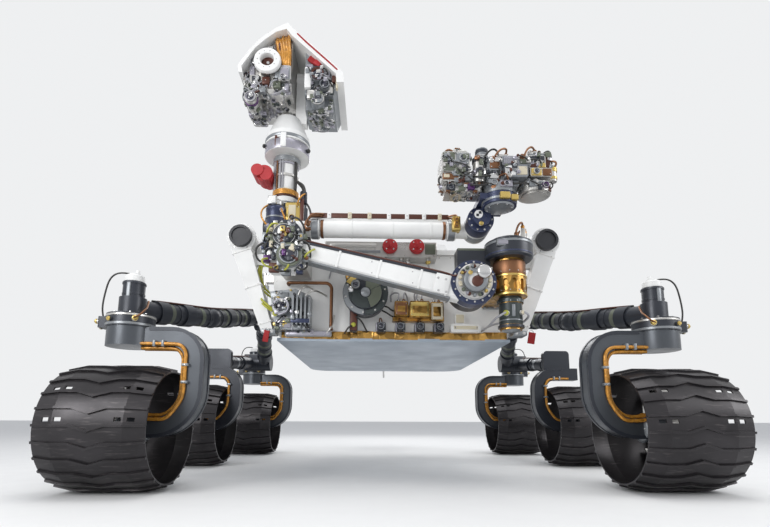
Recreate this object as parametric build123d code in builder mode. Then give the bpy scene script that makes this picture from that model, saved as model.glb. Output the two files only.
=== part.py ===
"""Six-wheeled planetary rover, parked on level ground with its arm stowed.

Units are millimetres. +Z is up, the rover's nose points to -Y, and +X is the
viewer's right when looking at the nose. The origin is on the ground, in the
middle of the rover's outline. Each piece is written to parts/ as its own STEP.
"""
from build123d import *
from math import atan2, cos, radians, sin, tan
import os

os.makedirs("parts", exist_ok=True)

# Clearances
running_gap = 0.3
pin_gap = 0.05
seat_gap = 0.1
joint_gap = 0.3

# Running gear: where the axles are
mid_axle_y = -189
front_wheelbase = 1062
rear_wheelbase = 998
corner_track_half = 1114
middle_track_half = 1219

# Wheels
wheel_radius = 250
wheel_width = 400
lug_height = 8
lug_count = 24
lug_thickness = 9
lug_rake = 20
lug_point_half = 62
rim_wall = 6
crown_flat = 250
crown_drop = 16
marker_turns = (-82.5, -52.5, 52.5, 82.5)
marker_places = (-150, -105, 105, 150)
marker_width = 26
marker_length = 15
ring_place = 70
ring_depth = 28
ring_thickness = 8
spoke_count = 6
spoke_thickness = 7
spoke_width = 46
spoke_sweep = 34
hub_radius = 62
hub_length = 70
hub_nose_radius = 48
hub_nose_length = 12
spindle_radius = 30

# Steering struts and their actuators
strut_width = 76
strut_depth = 78
strut_reach = 284
strut_height = 366
strut_top_bend = 95
strut_low_bend = 150
steer_head_radius = 88
steer_head_height = 78
steer_drum_radius = 93
steer_drum_height = 54
steer_motor_radius = 43
steer_motor_height = 144
steer_cap_radius = 33
steer_cap_height = 28
steer_box_reach = 122
steer_box_width = 64
steer_box_height = 46
drive_radius = 58
drive_length = 96

# Suspension tubes
rocker_tube = 45
bogie_tube = 40
sleeve_wall = 8
sleeve_length = 56
knee_extra = 6
tube_rise = 24
rocker_knee_inset = 176
rocker_knee_back = 430
rocker_knee_rise = 62
bogie_knee_inset = 104
bogie_knee_back = 250
bogie_knee_rise = 50
pivot_radius = 82
pivot_x = 800
pivot_height = 925
pivot_y_offset = -60
pivot_width = 100
pivot_shaft_radius = 60
bogie_x = 905
bogie_height = 700
bogie_y_offset = 470
bogie_hub_radius = 62
bogie_hub_width = 96
middle_strut_reach = 245
middle_strut_drop = 40
end_plate_inset = 126
end_plate_width = 168
end_plate_height = 184
end_plate_depth = 44
end_plate_rise = 62

# Chassis
body_front_offset = -790
body_rear_offset = 600
body_bottom = 668
body_top = 1090
body_half_bottom = 560
body_half_top = 604
body_edge = 18
hatch_thickness = 6
hatch_width = 460
hatch_height = 260
pan_thickness = 14
pan_overhang = 8
pan_corner = 150
deck_thickness = 24
deck_overhang = 12
deck_corner = 30

# Corner posts
post_foot_x = 596
post_foot_z = 690
post_top_x = 736
post_top_z = 1090
post_foot_width = 56
post_top_width = 92
post_depth = 70
post_drum_radius = 66
post_drum_z = 1146
post_drum_length = 190
post_cap_radius = 52
post_cap_length = 26

# Mast
mast_x = -545
mast_y_offset = -790
mast_tube_radius = 55
mast_tube_base = 1330
mast_tube_top = 1590
mast_band_height = 24
collar_radius = 110
collar_height = 104
collar_groove = 6
cone_top = 1800
cone_top_radius = 62
tilt_axis_z = 2030
tilt_post_inner = 40
tilt_post_outer = 96
tilt_boss_radius = 38
tilt_post_depth = 52
head_barrel_radius = 206
head_half_depth = 190
axle_radius = 18
pod_gap = 5

# Arm
arm_y_offset = -1066
shoulder_x = 486
elevation_x = 315
elevation_z = 850
elbow_x = -474
elbow_z = 1040
wrist_x = 352
wrist_z = 1128
half_depth = 70
elevation_radius = 94
elevation_cover_radius = 74
elevation_cap_radius = 30
elbow_radius = 72
wrist_radius = 56
forearm_radius = 38
forearm_z = 1118
forearm_inset = 10
beam_drop = 42
beam_tip_depth = 70
beam_root_depth = 96
beam_edge = 10
beam_inset = 2
turret_x = 415
turret_y_offset = -1197
turret_floor = 1196
stack_radius = 71
stack_motor_radius = 46
flange_radius = 102
flange_base = 966
flange_height = 76

# Power source at the tail
power_axis_z = 985
power_front_offset = 1081
power_length = 600
power_radius = 132
power_fin_count = 8
power_fin_depth = 130
power_fin_thickness = 9
power_tilt = 24
power_foot_drop = 110

front_axle_y = mid_axle_y - front_wheelbase
rear_axle_y = mid_axle_y + rear_wheelbase
body_front = mid_axle_y + body_front_offset
body_rear = mid_axle_y + body_rear_offset
body_mid_y = (body_front + body_rear) / 2
body_length = body_rear - body_front
deck_top = body_top + deck_thickness
mast_y = mid_axle_y + mast_y_offset
arm_y = mid_axle_y + arm_y_offset
turret_y = mid_axle_y + turret_y_offset
pivot_y = mid_axle_y + pivot_y_offset
bogie_y = mid_axle_y + bogie_y_offset
rim_radius = wheel_radius - lug_height
near_plane = arm_y - joint_gap / 2
far_plane = arm_y + joint_gap / 2

# corner name, side (+1 is the viewer's right), axle line, half track, is steered
wheel_table = [
    ("front_left", -1, front_axle_y, corner_track_half, True),
    ("front_right", 1, front_axle_y, corner_track_half, True),
    ("middle_left", -1, mid_axle_y, middle_track_half, False),
    ("middle_right", 1, mid_axle_y, middle_track_half, False),
    ("rear_left", -1, rear_axle_y, corner_track_half, True),
    ("rear_right", 1, rear_axle_y, corner_track_half, True),
]


def rod(start, end, radius, end_radius=None):
    """Adds a straight round bar, or a taper, from one point to another."""
    span = Vector(*end) - Vector(*start)
    with BuildSketch(Plane(origin=start, z_dir=span)) as foot:
        Circle(radius)
    if end_radius is None:
        extrude(foot.sketch, amount=span.length)
    else:
        with BuildSketch(Plane(origin=end, z_dir=span)) as tip:
            Circle(end_radius)
        loft([foot.sketch.face(), tip.sketch.face()])


def disc(centre, direction, radius, length, mode=Mode.ADD):
    """Adds a drum whose middle is at centre, lying along direction."""
    along = Vector(*direction).normalized()
    with BuildSketch(Plane(origin=Vector(*centre) - along * (length / 2), z_dir=along)) as face:
        Circle(radius)
    extrude(face.sketch, amount=length, mode=mode)


def sleeves(start, end, radius, shares):
    """Adds clamp sleeves along a bar, at shares of its length."""
    span = Vector(*end) - Vector(*start)
    for share in shares:
        disc(Vector(*start) + span * share, span, radius + sleeve_wall, sleeve_length)


def block(x0, x1, y0, y1, z0, z1, corner=0):
    """Adds a box between three pairs of limits, its upright corners rounded."""
    with BuildSketch(Plane.XY.offset(z0)) as base:
        with Locations(((x0 + x1) / 2, (y0 + y1) / 2)):
            if corner:
                RectangleRounded(abs(x1 - x0), abs(y1 - y0), radius=corner)
            else:
                Rectangle(abs(x1 - x0), abs(y1 - y0))
    extrude(base.sketch, amount=z1 - z0)


def panel(x0, x1, z0, z1, y0, y1, corner):
    """Adds a box that faces the nose, its front corners rounded."""
    with BuildSketch(Plane.XZ.offset(-y0)) as face:
        with Locations(((x0 + x1) / 2, (z0 + z1) / 2)):
            RectangleRounded(abs(x1 - x0), abs(z1 - z0), radius=corner)
    extrude(face.sketch, amount=y0 - y1)


def prism(points, y0, y1):
    """Adds a shape drawn in the XZ plane, between two places along Y."""
    with BuildSketch(Plane.XZ.offset(-y0)) as outline:
        Polygon(*points, align=None)
    extrude(outline.sketch, amount=y0 - y1)


# Wheel rim, built about its own centre with the axle along X, outboard at +X
half_width = wheel_width / 2
edge_radius = rim_radius - crown_drop
flat_half = crown_flat / 2


def tread_line(grow):
    """Crowned line across the tread, at a height above the bare rim."""
    return [
        (half_width, edge_radius + grow),
        (flat_half, rim_radius + grow),
        (-flat_half, rim_radius + grow),
        (-half_width, edge_radius + grow),
    ]


lug_line = [
    (-half_width, -lug_rake / 2),
    (-lug_point_half, -lug_rake / 2),
    (0, lug_rake / 2),
    (lug_point_half, -lug_rake / 2),
    (half_width, -lug_rake / 2),
]
lug_near = [(x, y - lug_thickness / 2) for x, y in lug_line]
lug_far = [(x, y + lug_thickness / 2) for x, y in lug_line]
lug_root = edge_radius - rim_wall
with BuildPart() as lug_pattern:
    # Each lug runs across the tread with a shallow point in the middle.
    for number in range(lug_count):
        turn = radians(360 * number / lug_count)
        radial = Vector(0, sin(turn), cos(turn))
        with BuildSketch(Plane(origin=radial * lug_root, x_dir=(1, 0, 0), z_dir=radial)):
            Polygon(*lug_near, *lug_far[::-1], align=None)
    extrude(amount=wheel_radius - lug_root + lug_height)
    with BuildSketch(Plane.XZ) as envelope:
        Polygon(*tread_line(lug_height), *tread_line(-rim_wall / 2)[::-1], align=None)
    revolve(envelope.sketch, axis=Axis.X, mode=Mode.INTERSECT)

with BuildPart() as rim_pattern:
    with BuildSketch(Plane.XZ) as wall:
        Polygon(*tread_line(0), *tread_line(-rim_wall)[::-1], align=None)
    revolve(wall.sketch, axis=Axis.X)
    add(lug_pattern.part)
    # Evenly spaced marker slots through the rim, in the gaps between lugs
    for turn in marker_turns:
        radial = Vector(0, sin(radians(turn)), cos(radians(turn)))
        under = Plane(origin=radial * lug_root / 2, x_dir=(1, 0, 0), z_dir=radial)
        with BuildSketch(under) as markers:
            with Locations(*[(place, 0) for place in marker_places]):
                Rectangle(marker_width, marker_length)
        extrude(markers.sketch, amount=wheel_radius, mode=Mode.SUBTRACT)

# Wheel centre: a drum on the spindle, bowed spokes and the ring they bolt to
ring_outer = rim_radius - rim_wall - seat_gap
ring_inner = ring_outer - ring_depth
with BuildPart() as hub_pattern:
    with BuildSketch(Plane.YZ.offset(ring_place - ring_thickness)):
        Circle(ring_outer)
        Circle(ring_inner, mode=Mode.SUBTRACT)
    extrude(amount=ring_thickness)
    with BuildSketch(Plane.YZ.offset(ring_place - spoke_width)):
        for number in range(spoke_count):
            turn = 360 * number / spoke_count
            with BuildLine():
                foot = Vector(hub_radius - 6, 0).rotate(Axis.Z, turn)
                tip = Vector(ring_inner + ring_thickness, 0).rotate(Axis.Z, turn + spoke_sweep)
                bow = Vector((hub_radius + ring_inner) / 2, 0).rotate(Axis.Z, turn)
                ThreePointArc(foot, bow, tip)
            trace(line_width=spoke_thickness)
    extrude(amount=spoke_width)
    with BuildSketch(Plane.YZ.offset(ring_place - hub_length)):
        Circle(hub_radius)
    extrude(amount=hub_length)
    with BuildSketch(Plane.YZ.offset(ring_place)):
        Circle(hub_nose_radius)
    extrude(amount=hub_nose_length, taper=30)
    with BuildSketch(Plane.YZ.offset(ring_place - hub_length)):
        Circle(spindle_radius + pin_gap)
    extrude(amount=hub_length - hub_nose_length, mode=Mode.SUBTRACT)

for corner, side, axle_y, track_half, steered in wheel_table:
    turned = 0 if side > 0 else 180
    centre = Location((side * track_half, axle_y, wheel_radius), (0, 0, turned))
    with BuildPart() as wheel:
        with Locations(centre):
            add(rim_pattern.part)
    wheel.part.label = f"wheel_{corner}"
    export_step(wheel.part, f"parts/wheel_{corner}.step")
    with BuildPart() as hub:
        with Locations(centre):
            add(hub_pattern.part)
    hub.part.label = f"hub_{corner}"
    export_step(hub.part, f"parts/hub_{corner}.step")


def strut(centre, side, reach, top):
    """Adds the C-shaped strut, drive drum and spindle that carry one wheel."""
    plane = Plane(origin=centre, x_dir=(-side, 0, 0), z_dir=(0, side, 0))
    drive_face = hub_length - ring_place + running_gap
    with BuildSketch(plane) as band:
        with BuildLine():
            FilletPolyline(
                (0, top),
                (reach, top),
                (reach, 0),
                (drive_face + drive_length / 2, 0),
                radius=(strut_top_bend, strut_low_bend),
            )
        trace(line_width=strut_width)
    extrude(band.sketch, amount=strut_depth / 2, both=True)
    x, y, z = centre
    face_x = x - side * drive_face
    rod((face_x, y, z), (face_x - side * drive_length, y, z), drive_radius)
    rod(
        (face_x, y, z),
        (face_x + side * (hub_length - hub_nose_length - running_gap), y, z),
        spindle_radius,
    )


# Steered struts at the four corners
steer_head_z = wheel_radius + strut_height - steer_head_height / 2
for corner, side, axle_y, track_half, steered in wheel_table:
    if not steered:
        continue
    x = side * track_half
    with BuildPart() as steer_strut:
        strut((x, axle_y, wheel_radius), side, strut_reach, strut_height)
        disc(
            (x, axle_y, steer_head_z + steer_head_height / 2),
            (0, 0, 1),
            steer_head_radius,
            steer_head_height,
        )
    steer_strut.part.label = f"strut_{corner}"
    export_step(steer_strut.part, f"parts/strut_{corner}.step")

# Fixed steering actuators stand on the ends of the rocker and bogie tubes
actuator_base = steer_head_z + steer_head_height + running_gap
motor_base = actuator_base + steer_drum_height
motor_top = motor_base + steer_motor_height
tube_height = motor_base + tube_rise


def steer_actuator(x, y, side):
    """Adds the drum, motor, cap and connector box that turn a strut."""
    for radius, low, height in (
        (steer_drum_radius, actuator_base, steer_drum_height),
        (steer_motor_radius, motor_base, steer_motor_height),
        (steer_cap_radius, motor_top, steer_cap_height),
    ):
        disc((x, y, low + height / 2), (0, 0, 1), radius, height)
    block(
        *sorted((x, x + side * steer_box_reach)),
        y - steer_box_width / 2,
        y + steer_box_width / 2,
        motor_base - steer_box_height - sleeve_wall,
        motor_base - sleeve_wall,
        corner=sleeve_wall,
    )


for name, side in (("left", -1), ("right", 1)):
    front = (side * corner_track_half, front_axle_y, tube_height)
    knee = (
        side * (corner_track_half - rocker_knee_inset),
        front_axle_y + rocker_knee_back,
        tube_height + rocker_knee_rise,
    )
    pivot = (side * pivot_x, pivot_y, pivot_height)
    tail = (side * bogie_x, bogie_y, bogie_height)
    with BuildPart() as rocker:
        steer_actuator(front[0], front[1], side)
        disc(front, (0, 0, 1), rocker_tube + sleeve_wall, 2 * (rocker_tube + knee_extra))
        for start, end, shares in (
            (front, knee, (0.30, 0.62)),
            (knee, pivot, (0.25, 0.60)),
            (pivot, tail, (0.35, 0.78)),
        ):
            rod(start, end, rocker_tube)
            sleeves(start, end, rocker_tube, shares)
        with Locations(knee):
            Sphere(rocker_tube + knee_extra)
        disc(pivot, (1, 0, 0), pivot_radius, pivot_width)
        disc(tail, (1, 0, 0), bogie_hub_radius, bogie_hub_width)
    rocker.part.label = f"rocker_{name}"
    export_step(rocker.part, f"parts/rocker_{name}.step")

    hub_point = (side * (bogie_x + bogie_hub_width + running_gap), bogie_y, bogie_height)
    rear = (side * corner_track_half, rear_axle_y, tube_height)
    rear_knee = (
        side * (corner_track_half - bogie_knee_inset),
        bogie_y + bogie_knee_back,
        bogie_height + bogie_knee_rise,
    )
    middle = (side * middle_track_half, mid_axle_y, wheel_radius)
    middle_top = strut_height - middle_strut_drop
    plate_x = side * (middle_track_half - end_plate_inset)
    plate_z = wheel_radius + middle_top + end_plate_rise
    arm_end = (plate_x, mid_axle_y, plate_z)
    with BuildPart() as bogie:
        steer_actuator(rear[0], rear[1], side)
        disc(rear, (0, 0, 1), bogie_tube + sleeve_wall, 2 * (bogie_tube + knee_extra))
        disc(hub_point, (1, 0, 0), bogie_hub_radius, bogie_hub_width)
        for start, end, shares in (
            (hub_point, rear_knee, (0.55,)),
            (rear_knee, rear, (0.30, 0.62)),
            (hub_point, arm_end, (0.35, 0.72)),
        ):
            rod(start, end, bogie_tube)
            sleeves(start, end, bogie_tube, shares)
        with Locations(rear_knee):
            Sphere(bogie_tube + knee_extra)
        strut(middle, side, middle_strut_reach, middle_top)
        panel(
            plate_x - end_plate_width / 2,
            plate_x + end_plate_width / 2,
            plate_z - end_plate_height / 2,
            plate_z + end_plate_height / 2,
            mid_axle_y - end_plate_depth / 2,
            mid_axle_y + end_plate_depth / 2,
            corner=24,
        )
    bogie.part.label = f"bogie_{name}"
    export_step(bogie.part, f"parts/bogie_{name}.step")

# Chassis box, wider at the deck than at the belly, with a hatch on each flank
flank = atan2(body_half_top - body_half_bottom, body_top - body_bottom)
with BuildPart() as chassis:
    with BuildSketch(Plane.XZ.offset(-body_front)):
        Polygon(
            (-body_half_bottom, body_bottom),
            (body_half_bottom, body_bottom),
            (body_half_top, body_top),
            (-body_half_top, body_top),
            align=None,
        )
    extrude(amount=-body_length)
    chamfer(chassis.edges().filter_by(Axis.Y).group_by(Axis.Z)[0], length=body_edge)
    for side in (-1, 1):
        flank_plane = Plane(
            origin=(
                side * (body_half_bottom + body_half_top) / 2,
                body_mid_y,
                (body_bottom + body_top) / 2,
            ),
            x_dir=(0, side, 0),
            z_dir=(side * cos(flank), 0, -sin(flank)),
        )
        with BuildSketch(flank_plane) as hatch:
            with Locations((-side * hatch_width * 0.56, 0), (side * hatch_width * 0.56, 0)):
                RectangleRounded(hatch_width, hatch_height, radius=deck_corner)
        extrude(hatch.sketch, amount=hatch_thickness)
chassis.part.label = "chassis"
export_step(chassis.part, "parts/chassis.step")

# Flat belly pan under the chassis, its rear corners well rounded
with BuildPart() as belly_pan:
    with BuildSketch(Plane.XY.offset(body_bottom - pan_thickness)) as pan_outline:
        with Locations((0, (body_front - pan_overhang + body_rear) / 2)):
            Rectangle(2 * body_half_bottom, body_length + pan_overhang)
        fillet(pan_outline.vertices().group_by(Axis.Y)[-1], radius=pan_corner)
    extrude(amount=pan_thickness)
belly_pan.part.label = "belly_pan"
export_step(belly_pan.part, "parts/belly_pan.step")

# Top deck
with BuildPart() as deck:
    with BuildSketch(Plane.XY.offset(body_top)):
        with Locations((0, body_mid_y)):
            RectangleRounded(
                2 * (body_half_top + deck_overhang),
                body_length + 2 * deck_overhang,
                radius=deck_corner,
            )
    extrude(amount=deck_thickness)
deck.part.label = "deck"
export_step(deck.part, "parts/deck.step")

# White posts that lean out from the chassis corners, with a drum at each top
post_front = body_front - post_depth
post_rail_depth = 30
post_rail_top = body_top - 15
post_rail_height = 55
with BuildPart() as corner_posts:
    for side in (-1, 1):
        prism(
            [
                (side * (post_foot_x - post_foot_width / 2), post_foot_z),
                (side * (post_foot_x + post_foot_width / 2), post_foot_z),
                (side * (post_top_x + post_top_width / 2), post_top_z),
                (side * (post_top_x - post_top_width / 2), post_top_z),
            ][::side],
            post_front,
            body_front,
        )
        drum_y = post_front + post_drum_length / 2
        disc((side * post_top_x, drum_y, post_drum_z), (0, 1, 0), post_drum_radius, post_drum_length)
        block(
            *sorted((side * post_top_x, side * (body_half_top - body_edge))),
            body_front - post_rail_depth,
            body_front,
            post_rail_top - post_rail_height,
            post_rail_top,
        )
corner_posts.part.label = "corner_posts"
export_step(corner_posts.part, "parts/corner_posts.step")

# Turned caps on the fronts of the drums
with BuildPart() as post_caps:
    for side in (-1, 1):
        cap_y = post_front - post_cap_length / 2
        disc((side * post_top_x, cap_y, post_drum_z), (0, 1, 0), post_cap_radius, post_cap_length)
        disc(
            (side * post_top_x, post_front - post_cap_length, post_drum_z),
            (0, 1, 0),
            post_cap_radius - 12,
            post_cap_length / 2,
            mode=Mode.SUBTRACT,
        )
post_caps.part.label = "post_caps"
export_step(post_caps.part, "parts/post_caps.step")

# Mast foot on the deck corner, with its actuators
foot_plate = 26
foot_hinge_radius = 62
foot_hinge_z = deck_top + 96
foot_drum_radius = 48
foot_drum_x = mast_x - 26
foot_drum_y = mast_y - 78
foot_plate_front = mast_y - 88
with BuildPart() as mast_foot:
    block(mast_x - 74, mast_x + 84, body_front, mast_y + 96, deck_top, deck_top + foot_plate, 12)
    block(mast_x - 40, mast_x + 40, mast_y, mast_y + 60, deck_top, foot_hinge_z)
    disc((mast_x, mast_y, foot_hinge_z), (1, 0, 0), foot_hinge_radius, 170)
    disc((mast_x, mast_y, foot_hinge_z), (1, 0, 0), foot_hinge_radius - 16, 196)
    rod((mast_x, mast_y, foot_hinge_z), (mast_x, mast_y, mast_tube_base), mast_tube_radius - 5)
    rod((foot_drum_x, foot_drum_y, 1166), (foot_drum_x, foot_drum_y, 1290), foot_drum_radius)
    rod((foot_drum_x, foot_drum_y, 1290), (foot_drum_x, foot_drum_y, 1312), foot_drum_radius - 16)
    block(foot_drum_x - 30, mast_x + 10, foot_drum_y, mast_y, 1190, 1268)
    panel(mast_x + 17, mast_x + 105, 1136, 1320, foot_plate_front, foot_plate_front + 20, corner=14)
    block(mast_x + 26, mast_x + 60, foot_plate_front + 20, mast_y, 1180, 1290)
    disc((mast_x + 92, mast_y - 40, 1240), (0, 0, 1), 26, 130)
mast_foot.part.label = "mast_foot"
export_step(mast_foot.part, "parts/mast_foot.step")

with BuildPart() as mast_tube:
    rod((mast_x, mast_y, mast_tube_base), (mast_x, mast_y, mast_tube_top), mast_tube_radius)
    for height, extra in ((1350, 7), (1388, 9), (1566, 12)):
        disc((mast_x, mast_y, height), (0, 0, 1), mast_tube_radius + extra, mast_band_height)
mast_tube.part.label = "mast_tube"
export_step(mast_tube.part, "parts/mast_tube.step")

# Two soft-edged covers clipped to the side of the mast
cover_radius = 42
cover_x = mast_x - mast_tube_radius - cover_radius
cover_z = 1476
with BuildPart() as mast_covers:
    disc((cover_x, mast_y - 30, cover_z), (0, 1, 0), cover_radius, 84)
    disc((cover_x - 30, mast_y - 40, cover_z + 8), (0, 1, 0), cover_radius - 12, 100)
    disc((cover_x + 12, mast_y - 34, cover_z - 16), (0, 1, 0), cover_radius - 14, 104)
mast_covers.part.label = "mast_covers"
export_step(mast_covers.part, "parts/mast_covers.step")

# Pan collar: ring, cone and the post that carries the tilt axle
post_inner = mast_x + tilt_post_inner
post_outer = mast_x + tilt_post_outer
pan_base = mast_tube_top + running_gap
collar_top = pan_base + collar_height
tilt_mid = (post_inner + post_outer) / 2
with BuildPart() as mast_collar:
    disc((mast_x, mast_y, pan_base + collar_height / 2), (0, 0, 1), collar_radius, collar_height)
    with BuildSketch(Plane.XY.offset(pan_base + collar_height / 2)) as groove:
        with Locations((mast_x, mast_y)):
            Circle(collar_radius + 1)
            Circle(collar_radius - collar_groove, mode=Mode.SUBTRACT)
    extrude(groove.sketch, amount=collar_groove, both=True, mode=Mode.SUBTRACT)
    rod((mast_x, mast_y, collar_top), (mast_x, mast_y, cone_top), collar_radius - 4, cone_top_radius)
    block(
        mast_x,
        post_outer,
        mast_y - tilt_post_depth / 2,
        mast_y + tilt_post_depth / 2,
        cone_top - tilt_post_depth / 2,
        cone_top + 2,
    )
    block(
        post_inner,
        post_outer,
        mast_y - tilt_post_depth / 2,
        mast_y + tilt_post_depth / 2,
        cone_top,
        tilt_axis_z,
    )
    disc((tilt_mid, mast_y, tilt_axis_z), (1, 0, 0), tilt_boss_radius, post_outer - post_inner)
    disc(
        (tilt_mid, mast_y, tilt_axis_z),
        (1, 0, 0),
        axle_radius + pin_gap,
        post_outer - post_inner,
        mode=Mode.SUBTRACT,
    )
mast_collar.part.label = "mast_collar"
export_step(mast_collar.part, "parts/mast_collar.step")

# Mast head: a white peaked roof over two instrument pods, on one tilt axle
roof_outer = [
    (-211, -104),
    (-217, -67),
    (-154, 37),
    (-107, 88),
    (-46, 137),
    (13, 171),
    (58, 125),
    (288, -91),
    (293, -145),
]
roof_inner = [
    (-193, -104),
    (-199, -70),
    (-141, 25),
    (-94, 74),
    (-38, 120),
    (10, 136),
    (38, 100),
    (254, -100),
    (258, -145),
]
head_outer = [(mast_x + x, tilt_axis_z + z) for x, z in roof_outer]
head_inner = [(mast_x + x, tilt_axis_z + z) for x, z in roof_inner]
with BuildPart() as head_roof:
    prism((head_outer + head_inner[::-1])[::-1], mast_y - head_half_depth, mast_y + head_half_depth)
head_roof.part.label = "head_roof"
export_step(head_roof.part, "parts/head_roof.step")

# Left pod with the telescope, right pod with the cameras; the axle joins them
pod_left_edge = post_inner - pod_gap
pod_right_edge = post_outer + pod_gap
pod_front = mast_y - head_half_depth + 20
pod_rear = mast_y + head_half_depth - 20
side_pod_edge = mast_x - collar_radius - pod_gap


def roof_height(x):
    """How high the underside of the roof is over a place along X."""
    for (x0, z0), (x1, z1) in zip(head_inner, head_inner[1:]):
        if x0 <= x <= x1:
            return z0 + (z1 - z0) * (x - x0) / (x1 - x0)


with BuildPart() as head_telescope:
    prism(
        [
            *[point for point in head_inner[1:] if point[0] < pod_left_edge],
            (pod_left_edge, roof_height(pod_left_edge)),
            (pod_left_edge, tilt_axis_z - 160),
            (mast_x - 30, tilt_axis_z - 190),
            (mast_x - 130, tilt_axis_z - 176),
            (mast_x - 186, tilt_axis_z - 120),
        ][::-1],
        pod_front + 30,
        pod_rear,
    )
    with BuildSketch(Plane.YZ.offset(mast_x - 300)) as barrel:
        with Locations((mast_y, tilt_axis_z)):
            Circle(head_barrel_radius)
    extrude(barrel.sketch, amount=600, mode=Mode.INTERSECT)
    # telescope, a finder under it and a box beside it
    disc((mast_x - 77, pod_front + 20, tilt_axis_z - 36), (0, 1, 0), 64, 60)
    disc((mast_x - 77, pod_front + 6, tilt_axis_z - 36), (0, 1, 0), 56, 50)
    disc((mast_x - 77, pod_front - 14, tilt_axis_z - 36), (0, 1, 0), 34, 40, mode=Mode.SUBTRACT)
    panel(mast_x - 25, pod_left_edge, tilt_axis_z - 128, tilt_axis_z - 46, pod_front, pod_front + 60, 12)
    # the pod's outboard side hangs lower, clear of the mast
    block(
        mast_x - 190, side_pod_edge, pod_front + 14, mast_y + 60, tilt_axis_z - 222, tilt_axis_z - 90, 14
    )
    disc((mast_x - 152, pod_front + 30, tilt_axis_z - 226), (0, 1, 0), 30, 80)
    disc((tilt_mid, mast_y, tilt_axis_z), (1, 0, 0), axle_radius, pod_right_edge - pod_left_edge)
head_telescope.part.label = "head_telescope"
export_step(head_telescope.part, "parts/head_telescope.step")

with BuildPart() as head_cameras:
    prism(
        [
            (pod_right_edge, roof_height(pod_right_edge)),
            *[point for point in head_inner if point[0] > pod_right_edge],
            (mast_x + 240, tilt_axis_z - 190),
            (pod_right_edge, tilt_axis_z - 190),
        ][::-1],
        pod_front + 20,
        pod_rear - 30,
    )
    disc((mast_x + 165, pod_front + 16, tilt_axis_z - 95), (0, 1, 0), 36, 50)
    disc((mast_x + 200, pod_front + 14, tilt_axis_z - 150), (0, 1, 0), 24, 40)
    disc((mast_x + 166, pod_front + 44, tilt_axis_z - 216), (0, 1, 0), 34, 70)
    block(pod_right_edge, mast_x + 236, pod_front + 50, mast_y + 40, tilt_axis_z - 246, tilt_axis_z - 180, 10)
head_cameras.part.label = "head_cameras"
export_step(head_cameras.part, "parts/head_cameras.step")

# Shoulder: fixed stack on a bracket, a perforated drum and the motor below it
stack_top = flange_base - running_gap - 12
stack_split = 888
stack_low = 806
motor_low = 660
window_count = 12
window_depth = 12
with BuildPart() as shoulder_base:
    block(shoulder_x - 58, shoulder_x + 58, arm_y, body_front, 824, 940)
    disc((shoulder_x, arm_y, (stack_low + stack_split) / 2), (0, 0, 1), stack_radius, stack_split - stack_low)
    disc((shoulder_x, arm_y, (stack_split + stack_top) / 2), (0, 0, 1), stack_radius - 4, stack_top - stack_split)
    disc((shoulder_x, arm_y, stack_split), (0, 0, 1), stack_radius, 12)
    disc((shoulder_x, arm_y, flange_base - running_gap - 6), (0, 0, 1), stack_radius - 10, 12)
    disc((shoulder_x, arm_y, (motor_low + stack_low) / 2), (0, 0, 1), stack_motor_radius, stack_low - motor_low)
    for height in (motor_low + 14, stack_low - 26):
        disc((shoulder_x, arm_y, height), (0, 0, 1), stack_motor_radius + 6, 14)
    for number in range(window_count):
        turn = radians(360 * number / window_count)
        out = Vector(cos(turn), sin(turn), 0)
        face = Plane(
            origin=Vector(shoulder_x, arm_y, (stack_low + stack_split) / 2) + out * (stack_radius + 1),
            x_dir=(-sin(turn), cos(turn), 0),
            z_dir=out,
        )
        with BuildSketch(face) as window:
            SlotOverall(52, 17, rotation=90)
        extrude(window.sketch, amount=-window_depth, mode=Mode.SUBTRACT)
shoulder_base.part.label = "shoulder_base"
export_step(shoulder_base.part, "parts/shoulder_base.step")

# Turntable: flange over the stack, arm out to the rear half of the lift joint
flange_top = flange_base + flange_height
with BuildPart() as shoulder_turntable:
    disc((shoulder_x, arm_y, flange_base + flange_height / 2), (0, 0, 1), flange_radius, flange_height)
    disc((shoulder_x, arm_y, flange_top), (0, 0, 1), flange_radius - 26, 30)
    chamfer(shoulder_turntable.edges().group_by(Axis.Z)[0], length=8)
    block(
        elevation_x - 54,
        shoulder_x - flange_radius + 22,
        far_plane,
        far_plane + half_depth,
        elevation_z + 60,
        flange_top - 20,
    )
    disc(
        (elevation_x, far_plane + half_depth / 2, elevation_z),
        (0, 1, 0),
        elevation_radius,
        half_depth,
    )
shoulder_turntable.part.label = "shoulder_turntable"
export_step(shoulder_turntable.part, "parts/shoulder_turntable.step")

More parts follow.
